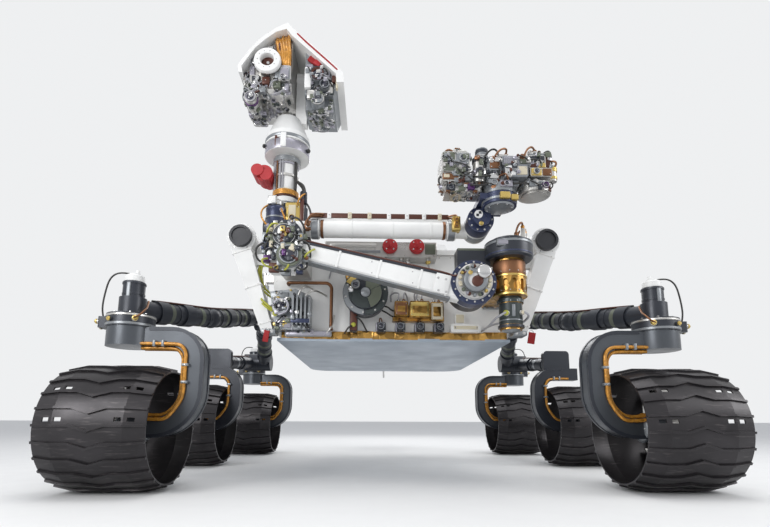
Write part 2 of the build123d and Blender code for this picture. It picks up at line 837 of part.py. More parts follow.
# Upper arm: box beam slung below the line between its two drums
beam_y0 = near_plane - half_depth + beam_inset
beam_y1 = near_plane - beam_inset
with BuildPart() as upper_arm:
    prism(
        [
            (elevation_x, elevation_z - beam_drop + beam_root_depth / 2),
            (elbow_x, elbow_z - beam_drop + beam_tip_depth / 2),
            (elbow_x, elbow_z - beam_drop - beam_tip_depth / 2),
            (elevation_x, elevation_z - beam_drop - beam_root_depth / 2),
        ],
        beam_y0,
        beam_y1,
    )
    chamfer(upper_arm.faces().sort_by(Axis.Y)[0].edges(), length=beam_edge)
    disc((elevation_x, near_plane - half_depth / 2, elevation_z), (0, 1, 0), elevation_radius, half_depth)
    disc((elevation_x, near_plane - half_depth - 10, elevation_z), (0, 1, 0), elevation_cover_radius, 20)
    disc((elevation_x, near_plane - half_depth - 26, elevation_z), (0, 1, 0), 46, 20)
    disc(
        (elevation_x + 34, near_plane - half_depth - 34, elevation_z + 34), (0, 1, 0), elevation_cap_radius, 28
    )
    disc((elbow_x, near_plane - half_depth / 2, elbow_z), (0, 1, 0), elbow_radius, half_depth)
    disc((elbow_x, near_plane - half_depth - 12, elbow_z), (0, 1, 0), elbow_radius - 26, 24)
    # elbow actuator slung under the joint
    disc((elbow_x + 26, near_plane - half_depth / 2 - 20, elbow_z - 92), (0, 1, 0), 50, 106)
    disc((elbow_x - 54, near_plane - half_depth / 2, elbow_z - 76), (0, 1, 0), 32, half_depth - 8)
    block(
        elbow_x - 60, elbow_x + 40, near_plane - half_depth + 12, near_plane - 4, elbow_z - 150, elbow_z - 60
    )
upper_arm.part.label = "upper_arm"
export_step(upper_arm.part, "parts/upper_arm.step")

# Forearm: tube in the far plane from the elbow drum to the wrist drum, a tray on top
forearm_y = far_plane + half_depth / 2
tray_start = elbow_x + 92
tray_end = wrist_x - 126
tray_top = forearm_z + forearm_radius + 27
with BuildPart() as forearm:
    disc((elbow_x, forearm_y, elbow_z), (0, 1, 0), elbow_radius, half_depth)
    rod(
        (elbow_x, forearm_y, forearm_z),
        (wrist_x - forearm_inset, forearm_y, forearm_z),
        forearm_radius - 4,
    )
    rod((elbow_x + 150, forearm_y, forearm_z), (wrist_x - 150, forearm_y, forearm_z), forearm_radius)
    for x in (elbow_x + 112, wrist_x - 112):
        disc((x, forearm_y, forearm_z), (1, 0, 0), forearm_radius + 5, 40)
    block(tray_start, tray_end, forearm_y - 15, forearm_y + 15, forearm_z, tray_top)
    disc((wrist_x, forearm_y, wrist_z), (0, 1, 0), wrist_radius, half_depth)
forearm.part.label = "forearm"
export_step(forearm.part, "parts/forearm.step")

# Wrist: near half drum, its motor and the drum under the turret
plate_top = turret_floor - running_gap
wrist_drum_radius = 70
wrist_drum_low = 1152
with BuildPart() as wrist:
    disc((wrist_x, near_plane - half_depth / 2, wrist_z), (0, 1, 0), wrist_radius, half_depth)
    disc((wrist_x, near_plane - half_depth - 12, wrist_z), (0, 1, 0), wrist_radius - 18, 24)
    block(wrist_x - 24, turret_x + 40, turret_y - 40, near_plane - 2, plate_top - 24, plate_top)
    disc(
        (turret_x, turret_y, (wrist_drum_low + plate_top) / 2),
        (0, 0, 1),
        wrist_drum_radius,
        plate_top - wrist_drum_low,
    )
wrist.part.label = "wrist"
export_step(wrist.part, "parts/wrist.step")

# Turret: hub on the wrist plate with the tools round it, all above the wrist
hub_half = 72
with BuildPart() as turret_hub:
    disc((turret_x, turret_y, turret_floor + 17), (0, 0, 1), hub_half, 34)
    block(turret_x - 64, turret_x + 64, turret_y - 60, turret_y + 64, turret_floor + 20, 1300, 12)
    panel(turret_x + 2, turret_x + 97, 1242, 1292, turret_y - 90, turret_y - 40, 8)
    panel(turret_x - 4, turret_x + 104, 1297, 1338, turret_y - 78, turret_y + 40, 8)
    panel(turret_x - 58, turret_x - 7, 1277, 1336, turret_y - 74, turret_y + 10, 8)
    disc((turret_x - 74, turret_y - 30, 1367), (0, 0, 1), 25, 42)
    block(turret_x - 64, turret_x + 20, turret_y - 40, turret_y + 50, 1290, 1352, 10)
turret_hub.part.label = "turret_hub"
export_step(turret_hub.part, "parts/turret_hub.step")

with BuildPart() as turret_drill:
    panel(turret_x - 246, turret_x - 132, 1269, 1356, turret_y - 72, turret_y + 50, 14)
    panel(turret_x - 246, turret_x - 170, 1234, 1269, turret_y - 62, turret_y + 30, 8)
    block(turret_x - 236, turret_x - 64, turret_y - 44, turret_y + 60, 1231, 1270, 8)
    block(turret_x - 228, turret_x - 78, turret_y - 40, turret_y + 52, turret_floor + 6, 1231, 10)
    disc((turret_x - 92, turret_y - 46, 1287), (0, 0, 1), 24, 106)
    disc((turret_x - 178, turret_y + 10, 1376), (0, 0, 1), 34, 44)
    disc((turret_x - 132, turret_y + 30, 1330), (0, 0, 1), 22, 110)
turret_drill.part.label = "turret_drill"
export_step(turret_drill.part, "parts/turret_drill.step")

with BuildPart() as turret_sampler:
    block(turret_x + 64, turret_x + 112, turret_y - 30, turret_y + 40, 1244, 1288)
    disc((turret_x + 146, turret_y - 4, turret_floor + 25), (0, 0, 1), 66, 38)
    disc((turret_x + 146, turret_y - 4, turret_floor + 4), (0, 0, 1), 52, 8)
    panel(turret_x + 109, turret_x + 199, 1251, 1288, turret_y - 78, turret_y + 40, 8)
    panel(turret_x + 106, turret_x + 177, 1290, 1348, turret_y - 70, turret_y + 60, 10)
    block(turret_x + 108, turret_x + 210, turret_y - 40, turret_y + 56, 1240, 1376, 12)
    disc((turret_x + 216, turret_y - 30, 1284), (0, 0, 1), 18, 64)
turret_sampler.part.label = "turret_sampler"
export_step(turret_sampler.part, "parts/turret_sampler.step")

# Saddle that the folded elbow rests beside
saddle_gap = 12
with BuildPart() as arm_saddle:
    block(elbow_x - 60, elbow_x + 70, far_plane + half_depth + saddle_gap, body_front, 956, 1040, 10)
    block(elbow_x - 40, elbow_x + 50, far_plane + half_depth + saddle_gap, body_front - 90, 1040, 1084, 10)
arm_saddle.part.label = "arm_saddle"
export_step(arm_saddle.part, "parts/arm_saddle.step")

# Sensors and boxes across the nose
camera_pitch = 92
with BuildPart() as nose_cameras:
    for number in range(4):
        x = -66 + camera_pitch * number
        panel(x - 24, x + 24, 692, 738, body_front - 56, body_front, 8)
        disc((x, body_front - 66, 714), (0, 1, 0), 19, 20)
        disc((x, body_front - 80, 714), (0, 1, 0), 15, 12)
nose_cameras.part.label = "nose_cameras"
export_step(nose_cameras.part, "parts/nose_cameras.step")

nose_boxes = [(-2, 63, 766, 838, 70), (68, 164, 757, 836, 84), (168, 232, 746, 837, 62)]
with BuildPart() as nose_electronics:
    block(-10, 236, body_front - 40, body_front, 748, 766)
    for x0, x1, z0, z1, reach in nose_boxes:
        panel(x0, x1, z0, z1, body_front - reach, body_front, 8)
nose_electronics.part.label = "nose_electronics"
export_step(nose_electronics.part, "parts/nose_electronics.step")

with BuildPart() as nose_junction:
    panel(268, 412, 697, 738, body_front - 40, body_front, 8)
    panel(290, 340, 738, 790, body_front - 28, body_front, 6)
nose_junction.part.label = "nose_junction"
export_step(nose_junction.part, "parts/nose_junction.step")

# Round instrument on the nose with a rim, a port and the leg under it
drum_x = -139
drum_z = 866
with BuildPart() as nose_drum:
    disc((drum_x, body_front - 50, drum_z), (0, 1, 0), 98, 100)
    disc((drum_x, body_front - 92, drum_z), (0, 1, 0), 106, 22)
    disc((drum_x, body_front - 108, drum_z), (0, 1, 0), 78, 16)
    disc((drum_x - 46, body_front - 118, drum_z + 34), (0, 1, 0), 22, 20)
    panel(drum_x - 74, drum_x - 36, 690, 800, body_front - 70, body_front - 34, 10)
    panel(drum_x - 96, drum_x + 96, 936, 972, body_front - 84, body_front, 10)
nose_drum.part.label = "nose_drum"
export_step(nose_drum.part, "parts/nose_drum.step")

# Ribbed bracket low on the nose
rib_count = 5
rib_pitch = 19
with BuildPart() as nose_bracket:
    prism(
        [(-566, 742), (-556, 698), (-398, 698), (-398, 860), (-470, 894), (-590, 880)],
        body_front - 64,
        body_front,
    )
    for number in range(rib_count):
        x = -474 + rib_pitch * number
        panel(x - 4, x + 4, 716, 852, body_front - 104, body_front - 60, 3)
    disc((-530, body_front - 78, 800), (0, 1, 0), 40, 40)
    panel(-520, -300, 672, 700, body_front - 30, body_front, 6)
nose_bracket.part.label = "nose_bracket"
export_step(nose_bracket.part, "parts/nose_bracket.step")

# Fluid pipe that loops across the nose beside the bracket
pipe_radius = 8
pipe_y = body_front - 34
pipe_left = -514
pipe_right = -303
pipe_high = 932
pipe_low = 712
pipe_bend = 30
with BuildPart() as nose_pipe:
    with BuildLine() as pipe_route:
        FilletPolyline(
            (pipe_left, body_front, pipe_high),
            (pipe_left, pipe_y, pipe_high),
            (pipe_right, pipe_y, pipe_high),
            (pipe_right, pipe_y, pipe_low),
            (pipe_right, body_front, pipe_low),
            radius=(pipe_radius * 2, pipe_bend, pipe_radius * 2),
        )
    with BuildSketch(Plane(origin=(pipe_left, body_front, pipe_high), z_dir=(0, -1, 0))):
        Circle(pipe_radius)
    sweep(path=pipe_route.line)
nose_pipe.part.label = "nose_pipe"
export_step(nose_pipe.part, "parts/nose_pipe.step")

inlet_left = -336
inlet_right = 200
inlet_front = body_front - 90
inlet_top = 1122
with BuildPart() as inlet_box:
    block(inlet_left, inlet_right, inlet_front, body_front, 1048, body_top - 2)
    block(
        inlet_left, inlet_right, inlet_front, body_front - deck_overhang - 2, body_top - 2, inlet_top, 4
    )
inlet_box.part.label = "inlet_box"
export_step(inlet_box.part, "parts/inlet_box.step")

with BuildPart() as inlet_covers:
    for x in (-25, 103):
        disc((x, inlet_front - 10, 1098), (0, 1, 0), 33, 20)
        disc((x, inlet_front - 22, 1098), (0, 1, 0), 14, 8)
inlet_covers.part.label = "inlet_covers"
export_step(inlet_covers.part, "parts/inlet_covers.step")

# Pivots on the chassis sides and the balance bar across the deck
with BuildPart() as side_pivots:
    for side in (-1, 1):
        inner = side * body_half_bottom
        outer = side * (pivot_x - pivot_width / 2 - running_gap)
        rod((inner, pivot_y, pivot_height), (outer, pivot_y, pivot_height), pivot_shaft_radius)
    add(chassis.part, mode=Mode.SUBTRACT)
side_pivots.part.label = "side_pivots"
export_step(side_pivots.part, "parts/side_pivots.step")

bar_height = deck_top + 62
bar_half = 26
link_radius = 18
with BuildPart() as balance_bar:
    disc((0, pivot_y, deck_top + 46), (0, 0, 1), 2 * bar_half, 92)
    block(-pivot_x, pivot_x, pivot_y - bar_half, pivot_y + bar_half, bar_height - 22, bar_height + 22)
    for side in (-1, 1):
        link_foot = pivot_height + pivot_radius + running_gap
        rod(
            (side * pivot_x, pivot_y, link_foot),
            (side * pivot_x, pivot_y, bar_height + 30),
            link_radius,
        )
balance_bar.part.label = "balance_bar"
export_step(balance_bar.part, "parts/balance_bar.step")

# Antennas on the rear deck
radio_x = -330
radio_y = body_rear - 221
radio_radius = 62
radio_height = 250
with BuildPart() as radio_mast:
    rod((radio_x, radio_y, deck_top), (radio_x, radio_y, deck_top + radio_height), radio_radius)
    disc((radio_x, radio_y, deck_top + 12), (0, 0, 1), radio_radius + 22, 24)
    chamfer(radio_mast.edges().group_by(Axis.Z)[-1], length=10)
radio_mast.part.label = "radio_mast"
export_step(radio_mast.part, "parts/radio_mast.step")

antenna_x = 340
antenna_y = body_rear - 321
stand_height = 110
stand_radius = 44
cheek_inner = 24
cheek_outer = 38
cheek_half = 22
antenna_pin = 8
barrel_radius = 16
panel_radius = 150
panel_thickness = 20
panel_back = 34
with BuildPart() as antenna_stand:
    rod((antenna_x, antenna_y, deck_top), (antenna_x, antenna_y, deck_top + stand_height), stand_radius)
    disc((antenna_x, antenna_y, deck_top + 8), (0, 0, 1), stand_radius + 20, 16)
antenna_stand.part.label = "antenna_stand"
export_step(antenna_stand.part, "parts/antenna_stand.step")

antenna_turn_z = deck_top + stand_height + running_gap
yoke_plate = 30
yoke_saddle = 40
antenna_tilt_z = antenna_turn_z + panel_radius + yoke_saddle
with BuildPart() as antenna_yoke:
    disc((antenna_x, antenna_y, antenna_turn_z + yoke_plate / 2), (0, 0, 1), stand_radius + 16, yoke_plate)
    block(
        antenna_x - cheek_outer,
        antenna_x + cheek_outer,
        antenna_y - cheek_half,
        antenna_y + cheek_half,
        antenna_turn_z + yoke_plate,
        antenna_turn_z + yoke_plate + yoke_saddle,
    )
    for side in (-1, 1):
        block(
            *sorted((antenna_x + side * cheek_inner, antenna_x + side * cheek_outer)),
            antenna_y - cheek_half,
            antenna_y + cheek_half,
            antenna_turn_z + yoke_plate + yoke_saddle,
            antenna_tilt_z + cheek_half,
        )
    disc((antenna_x, antenna_y, antenna_tilt_z), (1, 0, 0), antenna_pin, 2 * cheek_outer)
antenna_yoke.part.label = "antenna_yoke"
export_step(antenna_yoke.part, "parts/antenna_yoke.step")

with BuildPart() as antenna_panel:
    with BuildSketch(Plane.XZ.offset(-(antenna_y - panel_back))):
        with Locations((antenna_x, antenna_tilt_z)):
            RegularPolygon(panel_radius, 6)
    extrude(amount=panel_thickness)
    barrel_half = cheek_inner - running_gap
    block(
        antenna_x - barrel_half,
        antenna_x + barrel_half,
        antenna_y - panel_back,
        antenna_y,
        antenna_tilt_z - barrel_radius,
        antenna_tilt_z + barrel_radius,
    )
    disc((antenna_x, antenna_y, antenna_tilt_z), (1, 0, 0), barrel_radius, 2 * barrel_half)
    disc(
        (antenna_x, antenna_y, antenna_tilt_z),
        (1, 0, 0),
        antenna_pin + pin_gap,
        2 * barrel_half,
        mode=Mode.SUBTRACT,
    )
antenna_panel.part.label = "antenna_panel"
export_step(antenna_panel.part, "parts/antenna_panel.step")

# Power source: finned drum on a frame at the tail, nose down
power_front_y = mid_axle_y + power_front_offset
slope = Vector(0, cos(radians(power_tilt)), sin(radians(power_tilt)))
power_foot = Vector(0, power_front_y, power_axis_z - power_foot_drop)
power_plane = Plane(origin=power_foot, x_dir=(1, 0, 0), z_dir=slope)
fin_start = 60
fin_end_margin = 50
with BuildPart() as power_source:
    with BuildSketch(power_plane):
        Circle(power_radius)
    extrude(amount=power_length)
    with BuildSketch(power_plane.offset(fin_start)):
        with PolarLocations(power_radius + power_fin_depth / 2 - 5, power_fin_count):
            Rectangle(power_fin_depth + 10, power_fin_thickness)
    extrude(amount=power_length - fin_start - fin_end_margin)
power_source.part.label = "power_source"
export_step(power_source.part, "parts/power_source.step")

frame_plate = 30
frame_rod_radius = 20
frame_half = 110
frame_pad_radius = 34
frame_pad_thickness = 16
frame_ends = [(body_bottom + 92, power_foot.Z - 25), (body_top - 50, power_foot.Z + 85)]
with BuildPart() as power_frame:
    with BuildSketch(power_plane.offset(-frame_plate)):
        Circle(power_radius + frame_rod_radius)
    extrude(amount=frame_plate)
    for side in (-1, 1):
        for pad_z, end_z in frame_ends:
            pad = (side * frame_half, body_rear + frame_pad_thickness / 2, pad_z)
            disc(pad, (0, 1, 0), frame_pad_radius, frame_pad_thickness)
            end_y = power_front_y - (end_z - power_foot.Z) * tan(radians(power_tilt)) - frame_plate / 2
            rod(
                (side * frame_half, body_rear + frame_pad_thickness, pad_z),
                (side * (frame_half - frame_rod_radius), end_y, end_z),
                frame_rod_radius,
            )
power_frame.part.label = "power_frame"
export_step(power_frame.part, "parts/power_frame.step")

# Heat exchanger plates that stand on each side of the power source
plate_half = power_radius + power_fin_depth + 34
plate_thickness = 16
plate_front = power_front_y + 10
plate_rear = power_front_y + 380
with BuildPart() as heat_plates:
    for side in (-1, 1):
        inner_face = side * plate_half
        with BuildSketch(Plane.YZ.offset(inner_face)) as plate:
            Polygon(
                (plate_front, 720),
                (plate_rear - 80, 780),
                (plate_rear, 1180),
                (plate_front + 60, 1180),
                (plate_front, 1100),
                align=None,
            )
        extrude(plate.sketch, amount=side * plate_thickness)
        for pad_z in (body_bottom + 130, body_top - 90):
            pad = (inner_face + side * plate_thickness / 2, body_rear + frame_pad_thickness / 2, pad_z)
            disc(pad, (0, 1, 0), frame_pad_radius - 8, frame_pad_thickness)
            rod(pad, (pad[0], plate_front + 40, pad_z), frame_rod_radius / 2)
heat_plates.part.label = "heat_plates"
export_step(heat_plates.part, "parts/heat_plates.step")

# Bosses on the deck that a lifting frame bolts to
lift_places = [(-400, body_rear - 971), (400, body_rear - 971), (0, body_rear - 81)]
lift_bore = 8
lift_radius = 34
lift_height = 40
with BuildPart() as lift_bosses:
    with BuildSketch(Plane.XY.offset(deck_top)):
        with Locations(*lift_places):
            Circle(lift_radius)
            Circle(lift_bore, mode=Mode.SUBTRACT)
    extrude(amount=lift_height)
lift_bosses.part.label = "lift_bosses"
export_step(lift_bosses.part, "parts/lift_bosses.step")

# Deck fittings: two sample inlets with lids, a sensor box and the cable trunk
fitting_corner = 10
with BuildPart() as deck_fittings:
    block(-250, -130, body_front + 120, body_front + 260, deck_top, deck_top + 46, fitting_corner)
    disc((120, body_front + 180, deck_top + 20), (0, 0, 1), 44, 40)
    disc((260, body_front + 210, deck_top + 16), (0, 0, 1), 36, 32)
    block(-470, -440, body_front + 180, body_rear - 320, deck_top, deck_top + 28, fitting_corner)
    block(430, 540, body_rear - 200, body_rear - 60, deck_top, deck_top + 52, fitting_corner)
deck_fittings.part.label = "deck_fittings"
export_step(deck_fittings.part, "parts/deck_fittings.step")
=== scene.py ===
"""Dresses the planetary rover: finishes, wheels, cables, films, lenses and fasteners."""
from math import cos, pi, radians, sin
from random import Random

import bmesh
import bpy
from mathutils import Matrix, Vector


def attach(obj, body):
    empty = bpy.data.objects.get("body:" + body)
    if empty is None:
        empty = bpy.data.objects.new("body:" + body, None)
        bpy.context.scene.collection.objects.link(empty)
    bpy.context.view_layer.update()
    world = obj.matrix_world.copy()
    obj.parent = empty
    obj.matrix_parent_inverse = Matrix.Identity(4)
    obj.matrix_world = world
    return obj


bl_info = {
    "name": "Planetary Rover Dressing",
    "version": (1, 0, 0),
    "blender": (4, 5, 0),
    "location": "View3D > Sidebar > Rover",
    "description": "Builds the finishes and the fine pieces of a six-wheeled rover",
    "category": "Object",
}

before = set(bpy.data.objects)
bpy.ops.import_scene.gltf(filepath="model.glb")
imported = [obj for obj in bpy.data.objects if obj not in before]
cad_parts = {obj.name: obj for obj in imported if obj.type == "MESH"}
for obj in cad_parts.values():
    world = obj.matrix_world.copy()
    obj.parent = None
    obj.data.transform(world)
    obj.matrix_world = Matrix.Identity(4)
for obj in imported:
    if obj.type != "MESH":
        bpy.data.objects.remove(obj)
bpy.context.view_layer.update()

MM = 0.001
NOSEWARD, AFTWARD = (0, -1, 0), (0, 1, 0)
UPWARD, DOWNWARD = (0, 0, 1), (0, 0, -1)


def colour(name, description, value):
    """A colour property with its default."""
    return bpy.props.FloatVectorProperty(
        name=name, description=description, subtype="COLOR", size=3, min=0, max=1, default=value
    )


def length(name, description, millimetres):
    """A length property with its default."""
    return bpy.props.FloatProperty(
        name=name, description=description, subtype="DISTANCE", unit="LENGTH", min=0,
        default=millimetres * MM, precision=4,
    )


class RoverFinishes(bpy.types.PropertyGroup):
    """Colours of the rover's finishes."""

    white: colour("White paint", "Thermal paint on the body, mast and arm", (0.80, 0.80, 0.785))
    cream: colour("Cream paint", "Older paint on small housings", (0.62, 0.56, 0.42))
    wheel: colour("Wheel black", "Anodised rim and lugs", (0.036, 0.033, 0.036))
    strut: colour("Strut grey", "Blue-grey struts of the steered wheels", (0.080, 0.088, 0.100))
    housing: colour("Dark housing", "Actuator housings and tubes", (0.030, 0.034, 0.044))
    navy: colour("Navy housing", "Blue-black actuator drums", (0.035, 0.045, 0.095))
    teal: colour("Teal housing", "Green-black motors", (0.046, 0.056, 0.056))
    slate: colour("Slate", "Blue-grey anodised fittings", (0.25, 0.265, 0.28))
    lavender: colour("Lavender", "Anodised aluminium with a violet sheen", (0.36, 0.35, 0.40))
    metal: colour("Bare metal", "Machined fittings", (0.57, 0.56, 0.54))
    steel: colour("Bright steel", "Bolts, rings and caps", (0.62, 0.62, 0.62))
    pan: colour("Pan grey", "Underside panels", (0.37, 0.43, 0.50))
    film: colour("Gold film", "Wrapped insulation film", (0.60, 0.34, 0.09))
    amber: colour("Amber sleeve", "Film sleeve on cables", (0.66, 0.30, 0.045))
    brass: colour("Brass", "Yellow chromate fittings", (0.60, 0.44, 0.14))
    copper: colour("Copper", "Heat pipes and straps", (0.225, 0.108, 0.056))
    olive: colour("Olive", "Green-grey fittings", (0.125, 0.140, 0.105))
    cover: colour("Red cover", "Protective covers", (0.50, 0.022, 0.028))
    cap: colour("Black cap", "Rubber and plastic caps", (0.012, 0.013, 0.018))
    floor: colour("Floor", "Studio floor", (0.80, 0.80, 0.79))


class RoverSizes(bpy.types.PropertyGroup):
    """Sizes of the fine pieces."""

    strut_cable: length("Strut cable", "Radius of the sleeved cables on the struts", 7.5)
    tube_cable: length("Tube cable", "Radius of the cables along the suspension tubes", 5)
    lead: length("Lead", "Radius of the thin leads on the housings", 3)
    panel_screw: length("Panel screw", "Radius of the round heads on the panels", 3.5)


def group_tree(name, inputs, outputs):
    """Starts a shader node group; gives its tree, the sockets that bring values in and those that take them out."""
    tree = bpy.data.node_groups.new(name, "ShaderNodeTree")
    for label, kind, value in inputs:
        socket = tree.interface.new_socket(name=label, in_out="INPUT", socket_type=kind)
        if value is not None:
            socket.default_value = value
    for label, kind in outputs:
        tree.interface.new_socket(name=label, in_out="OUTPUT", socket_type=kind)
    return tree, tree.nodes.new("NodeGroupInput").outputs, tree.nodes.new("NodeGroupOutput").inputs


def fill(tree, node, inputs):
    """Gives a node's inputs their values, or links them to the outputs named."""
    for label, value in inputs.items():
        socket = node.inputs[label]
        if isinstance(value, bpy.types.NodeSocket):
            tree.links.new(value, socket)
        else:
            socket.default_value = (*value, 1) if socket.type == "RGBA" else value


def shade(tree, kind, inputs, **modes):
    """Adds a shader node with its modes and inputs, and returns its outputs."""
    node = tree.nodes.new(kind)
    for name, value in modes.items():
        setattr(node, name, value)
    fill(tree, node, inputs)
    return node.outputs


def mixed(tree, share, first, second):
    """Mixes two colours."""
    return shade(tree, "ShaderNodeMix", {"Factor": share, "A": first, "B": second}, data_type="RGBA")["Result"]


def product(tree, first, second):
    """Multiplies two values."""
    return shade(tree, "ShaderNodeMath", {0: first, 1: second}, operation="MULTIPLY")["Value"]


def ramp(tree, value, low, high, start=0.0, end=1.0):
    """Carries a value from one range to another."""
    return shade(tree, "ShaderNodeMapRange", {
        "Value": value, "From Min": low, "From Max": high, "To Min": start, "To Max": end,
    })["Result"]


def make_wear_group():
    """Paint rubbed through along the edges."""
    tree, into, out = group_tree(
        "Edge Wear",
        [
            ("Color", "NodeSocketColor", (0.8, 0.8, 0.8, 1)),
            ("Worn Color", "NodeSocketColor", (0.4, 0.4, 0.4, 1)),
            ("Width", "NodeSocketFloat", 0.003),
            ("Amount", "NodeSocketFloat", 0.5),
        ],
        [("Color", "NodeSocketColor"), ("Mask", "NodeSocketFloat")],
    )
    rounded = shade(tree, "ShaderNodeBevel", {"Radius": into["Width"]}, samples=4)["Normal"]
    flat = shade(tree, "ShaderNodeNewGeometry", {})["Normal"]
    dot = shade(tree, "ShaderNodeVectorMath", {0: rounded, 1: flat}, operation="DOT_PRODUCT")["Value"]
    place = shade(tree, "ShaderNodeTexCoord", {})["Object"]
    chips = shade(tree, "ShaderNodeTexNoise", {"Vector": place, "Scale": 60, "Detail": 5})["Fac"]
    edge = product(tree, ramp(tree, dot, 0.985, 0.80), ramp(tree, chips, 0.40, 0.62))
    mask = product(tree, edge, into["Amount"])
    tree.links.new(mixed(tree, mask, into["Color"], into["Worn Color"]), out["Color"])
    tree.links.new(mask, out["Mask"])
    return tree


# How far a painted surface's roughness strays to either side
ROUGH_SPREAD = 0.08


def make_grain_group():
    """Slight tone variation, roughness variation and a fine surface height."""
    tree, into, out = group_tree(
        "Paint Grain",
        [
            ("Color", "NodeSocketColor", (0.8, 0.8, 0.8, 1)),
            ("Scale", "NodeSocketFloat", 300.0),
            ("Blotch", "NodeSocketFloat", 0.12),
            ("Roughness", "NodeSocketFloat", 0.5),
        ],
        [("Color", "NodeSocketColor"), ("Roughness", "NodeSocketFloat"), ("Height", "NodeSocketFloat")],
    )
    place = shade(tree, "ShaderNodeTexCoord", {})["Object"]
    fine = shade(tree, "ShaderNodeTexNoise", {"Vector": place, "Scale": into["Scale"], "Detail": 4})["Fac"]
    broad = shade(tree, "ShaderNodeTexNoise", {"Vector": place, "Scale": 7, "Detail": 6})["Fac"]
    dim = shade(tree, "ShaderNodeMath", {0: 1.0, 1: into["Blotch"]}, operation="SUBTRACT")["Value"]
    tone = shade(tree, "ShaderNodeVectorMath", {
        0: into["Color"], "Scale": ramp(tree, broad, 0.35, 0.65, 1.0, dim),
    }, operation="SCALE")["Vector"]
    less, more = (
        shade(tree, "ShaderNodeMath", {0: into["Roughness"], 1: ROUGH_SPREAD}, operation=way)["Value"]
        for way in ("SUBTRACT", "ADD")
    )
    tree.links.new(tone, out["Color"])
    tree.links.new(ramp(tree, broad, 0.3, 0.7, less, more), out["Roughness"])
    tree.links.new(fine, out["Height"])
    return tree


def make_crinkle_group():
    """Creases of a thin wrapped film."""
    tree, into, out = group_tree(
        "Film Crinkle",
        [("Scale", "NodeSocketFloat", 30.0)],
        [("Height", "NodeSocketFloat"), ("Tone", "NodeSocketFloat")],
    )
    place = shade(tree, "ShaderNodeTexCoord", {})["Object"]
    warp = shade(tree, "ShaderNodeTexNoise", {"Vector": place, "Scale": 12})["Color"]
    shift = shade(tree, "ShaderNodeVectorMath", {0: warp, 1: (0.06, 0.06, 0.06), 2: place}, operation="MULTIPLY_ADD")
    facets = shade(tree, "ShaderNodeTexVoronoi", {"Vector": shift["Vector"], "Scale": into["Scale"]},
                   feature="F1", distance="MANHATTAN")
    tone = shade(tree, "ShaderNodeSeparateColor", {"Color": facets["Color"]})["Red"]
    tree.links.new(facets["Distance"], out["Height"])
    tree.links.new(tone, out["Tone"])
    return tree


def make_scratch_and_highlight_group():
    """Long slanted lighter streaks: scratches, as a rolled or dragged surface collects, and painted highlights."""
    tree, into, out = group_tree(
        "Slant Scratches and Highlights",
        [
            ("Color", "NodeSocketColor", (0.1, 0.1, 0.1, 1)),
            ("Scratch and Highlight Color", "NodeSocketColor", (0.4, 0.4, 0.4, 1)),
            ("Amount", "NodeSocketFloat", 0.5),
        ],
        [("Color", "NodeSocketColor")],
    )
    place = shade(tree, "ShaderNodeTexCoord", {})["Object"]
    slanted = shade(tree, "ShaderNodeMapping", {
        "Vector": place, "Rotation": (radians(20), radians(35), radians(12)), "Scale": (1.0, 1.0, 9.0),
    })["Vector"]
    streak = shade(tree, "ShaderNodeTexNoise", {"Vector": slanted, "Scale": 16, "Detail": 4})["Fac"]
    share = product(tree, ramp(tree, streak, 0.60, 0.74), into["Amount"])
    tree.links.new(mixed(tree, share, into["Color"], into["Scratch and Highlight Color"]), out["Color"])
    return tree


GROUPS = {}
FINISHES = {}


def shared_group(name):
    """Builds a shared shader group the first time it is asked for."""
    makers = {
        "wear": make_wear_group,
        "grain": make_grain_group,
        "crinkle": make_crinkle_group,
        "scratch_and_highlight": make_scratch_and_highlight_group,
    }
    if name not in GROUPS:
        GROUPS[name] = makers[name]()
    return GROUPS[name]


def start_material(name):
    """An empty material with a Principled BSDF on its output."""
    material = bpy.data.materials.new(name)
    material.use_nodes = True
    tree = material.node_tree
    return material, tree, tree.nodes["Principled BSDF"]


def place_group(tree, name, inputs):
    """Places a shared group in a material."""
    return shade(tree, "ShaderNodeGroup", inputs, node_tree=shared_group(name))


# Depth in metres of the paint's relief
GRAIN_DEPTH = 0.0006


def painted(name, base, rough=0.45, metal=0.0, worn=(0.35, 0.35, 0.36), wear=0.5, width=0.002,
            scale=400, bump=0.15, blotch=0.10, coat=0.0, scratches_and_highlights=0.0):
    """Paint or anodised metal: grain, blotches, and edges rubbed through."""
    material, tree, shader = start_material(name)
    grain = place_group(tree, "grain", {"Color": base, "Scale": scale, "Blotch": blotch, "Roughness": rough})
    tone = place_group(tree, "wear", {
        "Color": grain["Color"], "Worn Color": worn, "Width": width, "Amount": wear,
    })["Color"]
    # Slanted lighter streaks in the worn colour: partly scratches, partly painted highlights
    if scratches_and_highlights:
        tone = place_group(tree, "scratch_and_highlight", {"Color": tone, "Scratch and Highlight Color": worn, "Amount": scratches_and_highlights})["Color"]
    relief = shade(tree, "ShaderNodeBump", {"Height": grain["Height"], "Strength": bump, "Distance": GRAIN_DEPTH})
    fill(tree, shader, {
        "Base Color": tone, "Roughness": grain["Roughness"], "Metallic": metal, "Coat Weight": coat,
        "Normal": relief["Normal"],
    })
    return material


def foil(name, base, dark, rough=0.28, scale=28, bump=0.6, metal=0.85, depth=0.004):
    """Crinkled film."""
    material, tree, shader = start_material(name)
    crinkle = place_group(tree, "crinkle", {"Scale": scale})
    relief = shade(tree, "ShaderNodeBump", {"Height": crinkle["Height"], "Strength": bump, "Distance": depth})
    fill(tree, shader, {
        "Base Color": mixed(tree, crinkle["Tone"], dark, base), "Metallic": metal, "Roughness": rough,
        "Normal": relief["Normal"],
    })
    return material


def glass(name, base):
    """Dark coated lens glass."""
    return painted(name, base, rough=0.06, wear=0, bump=0, blotch=0.3, coat=1.0)


def dimmed(base, share):
    """A darker tone of a colour."""
    return tuple(part * share for part in base)


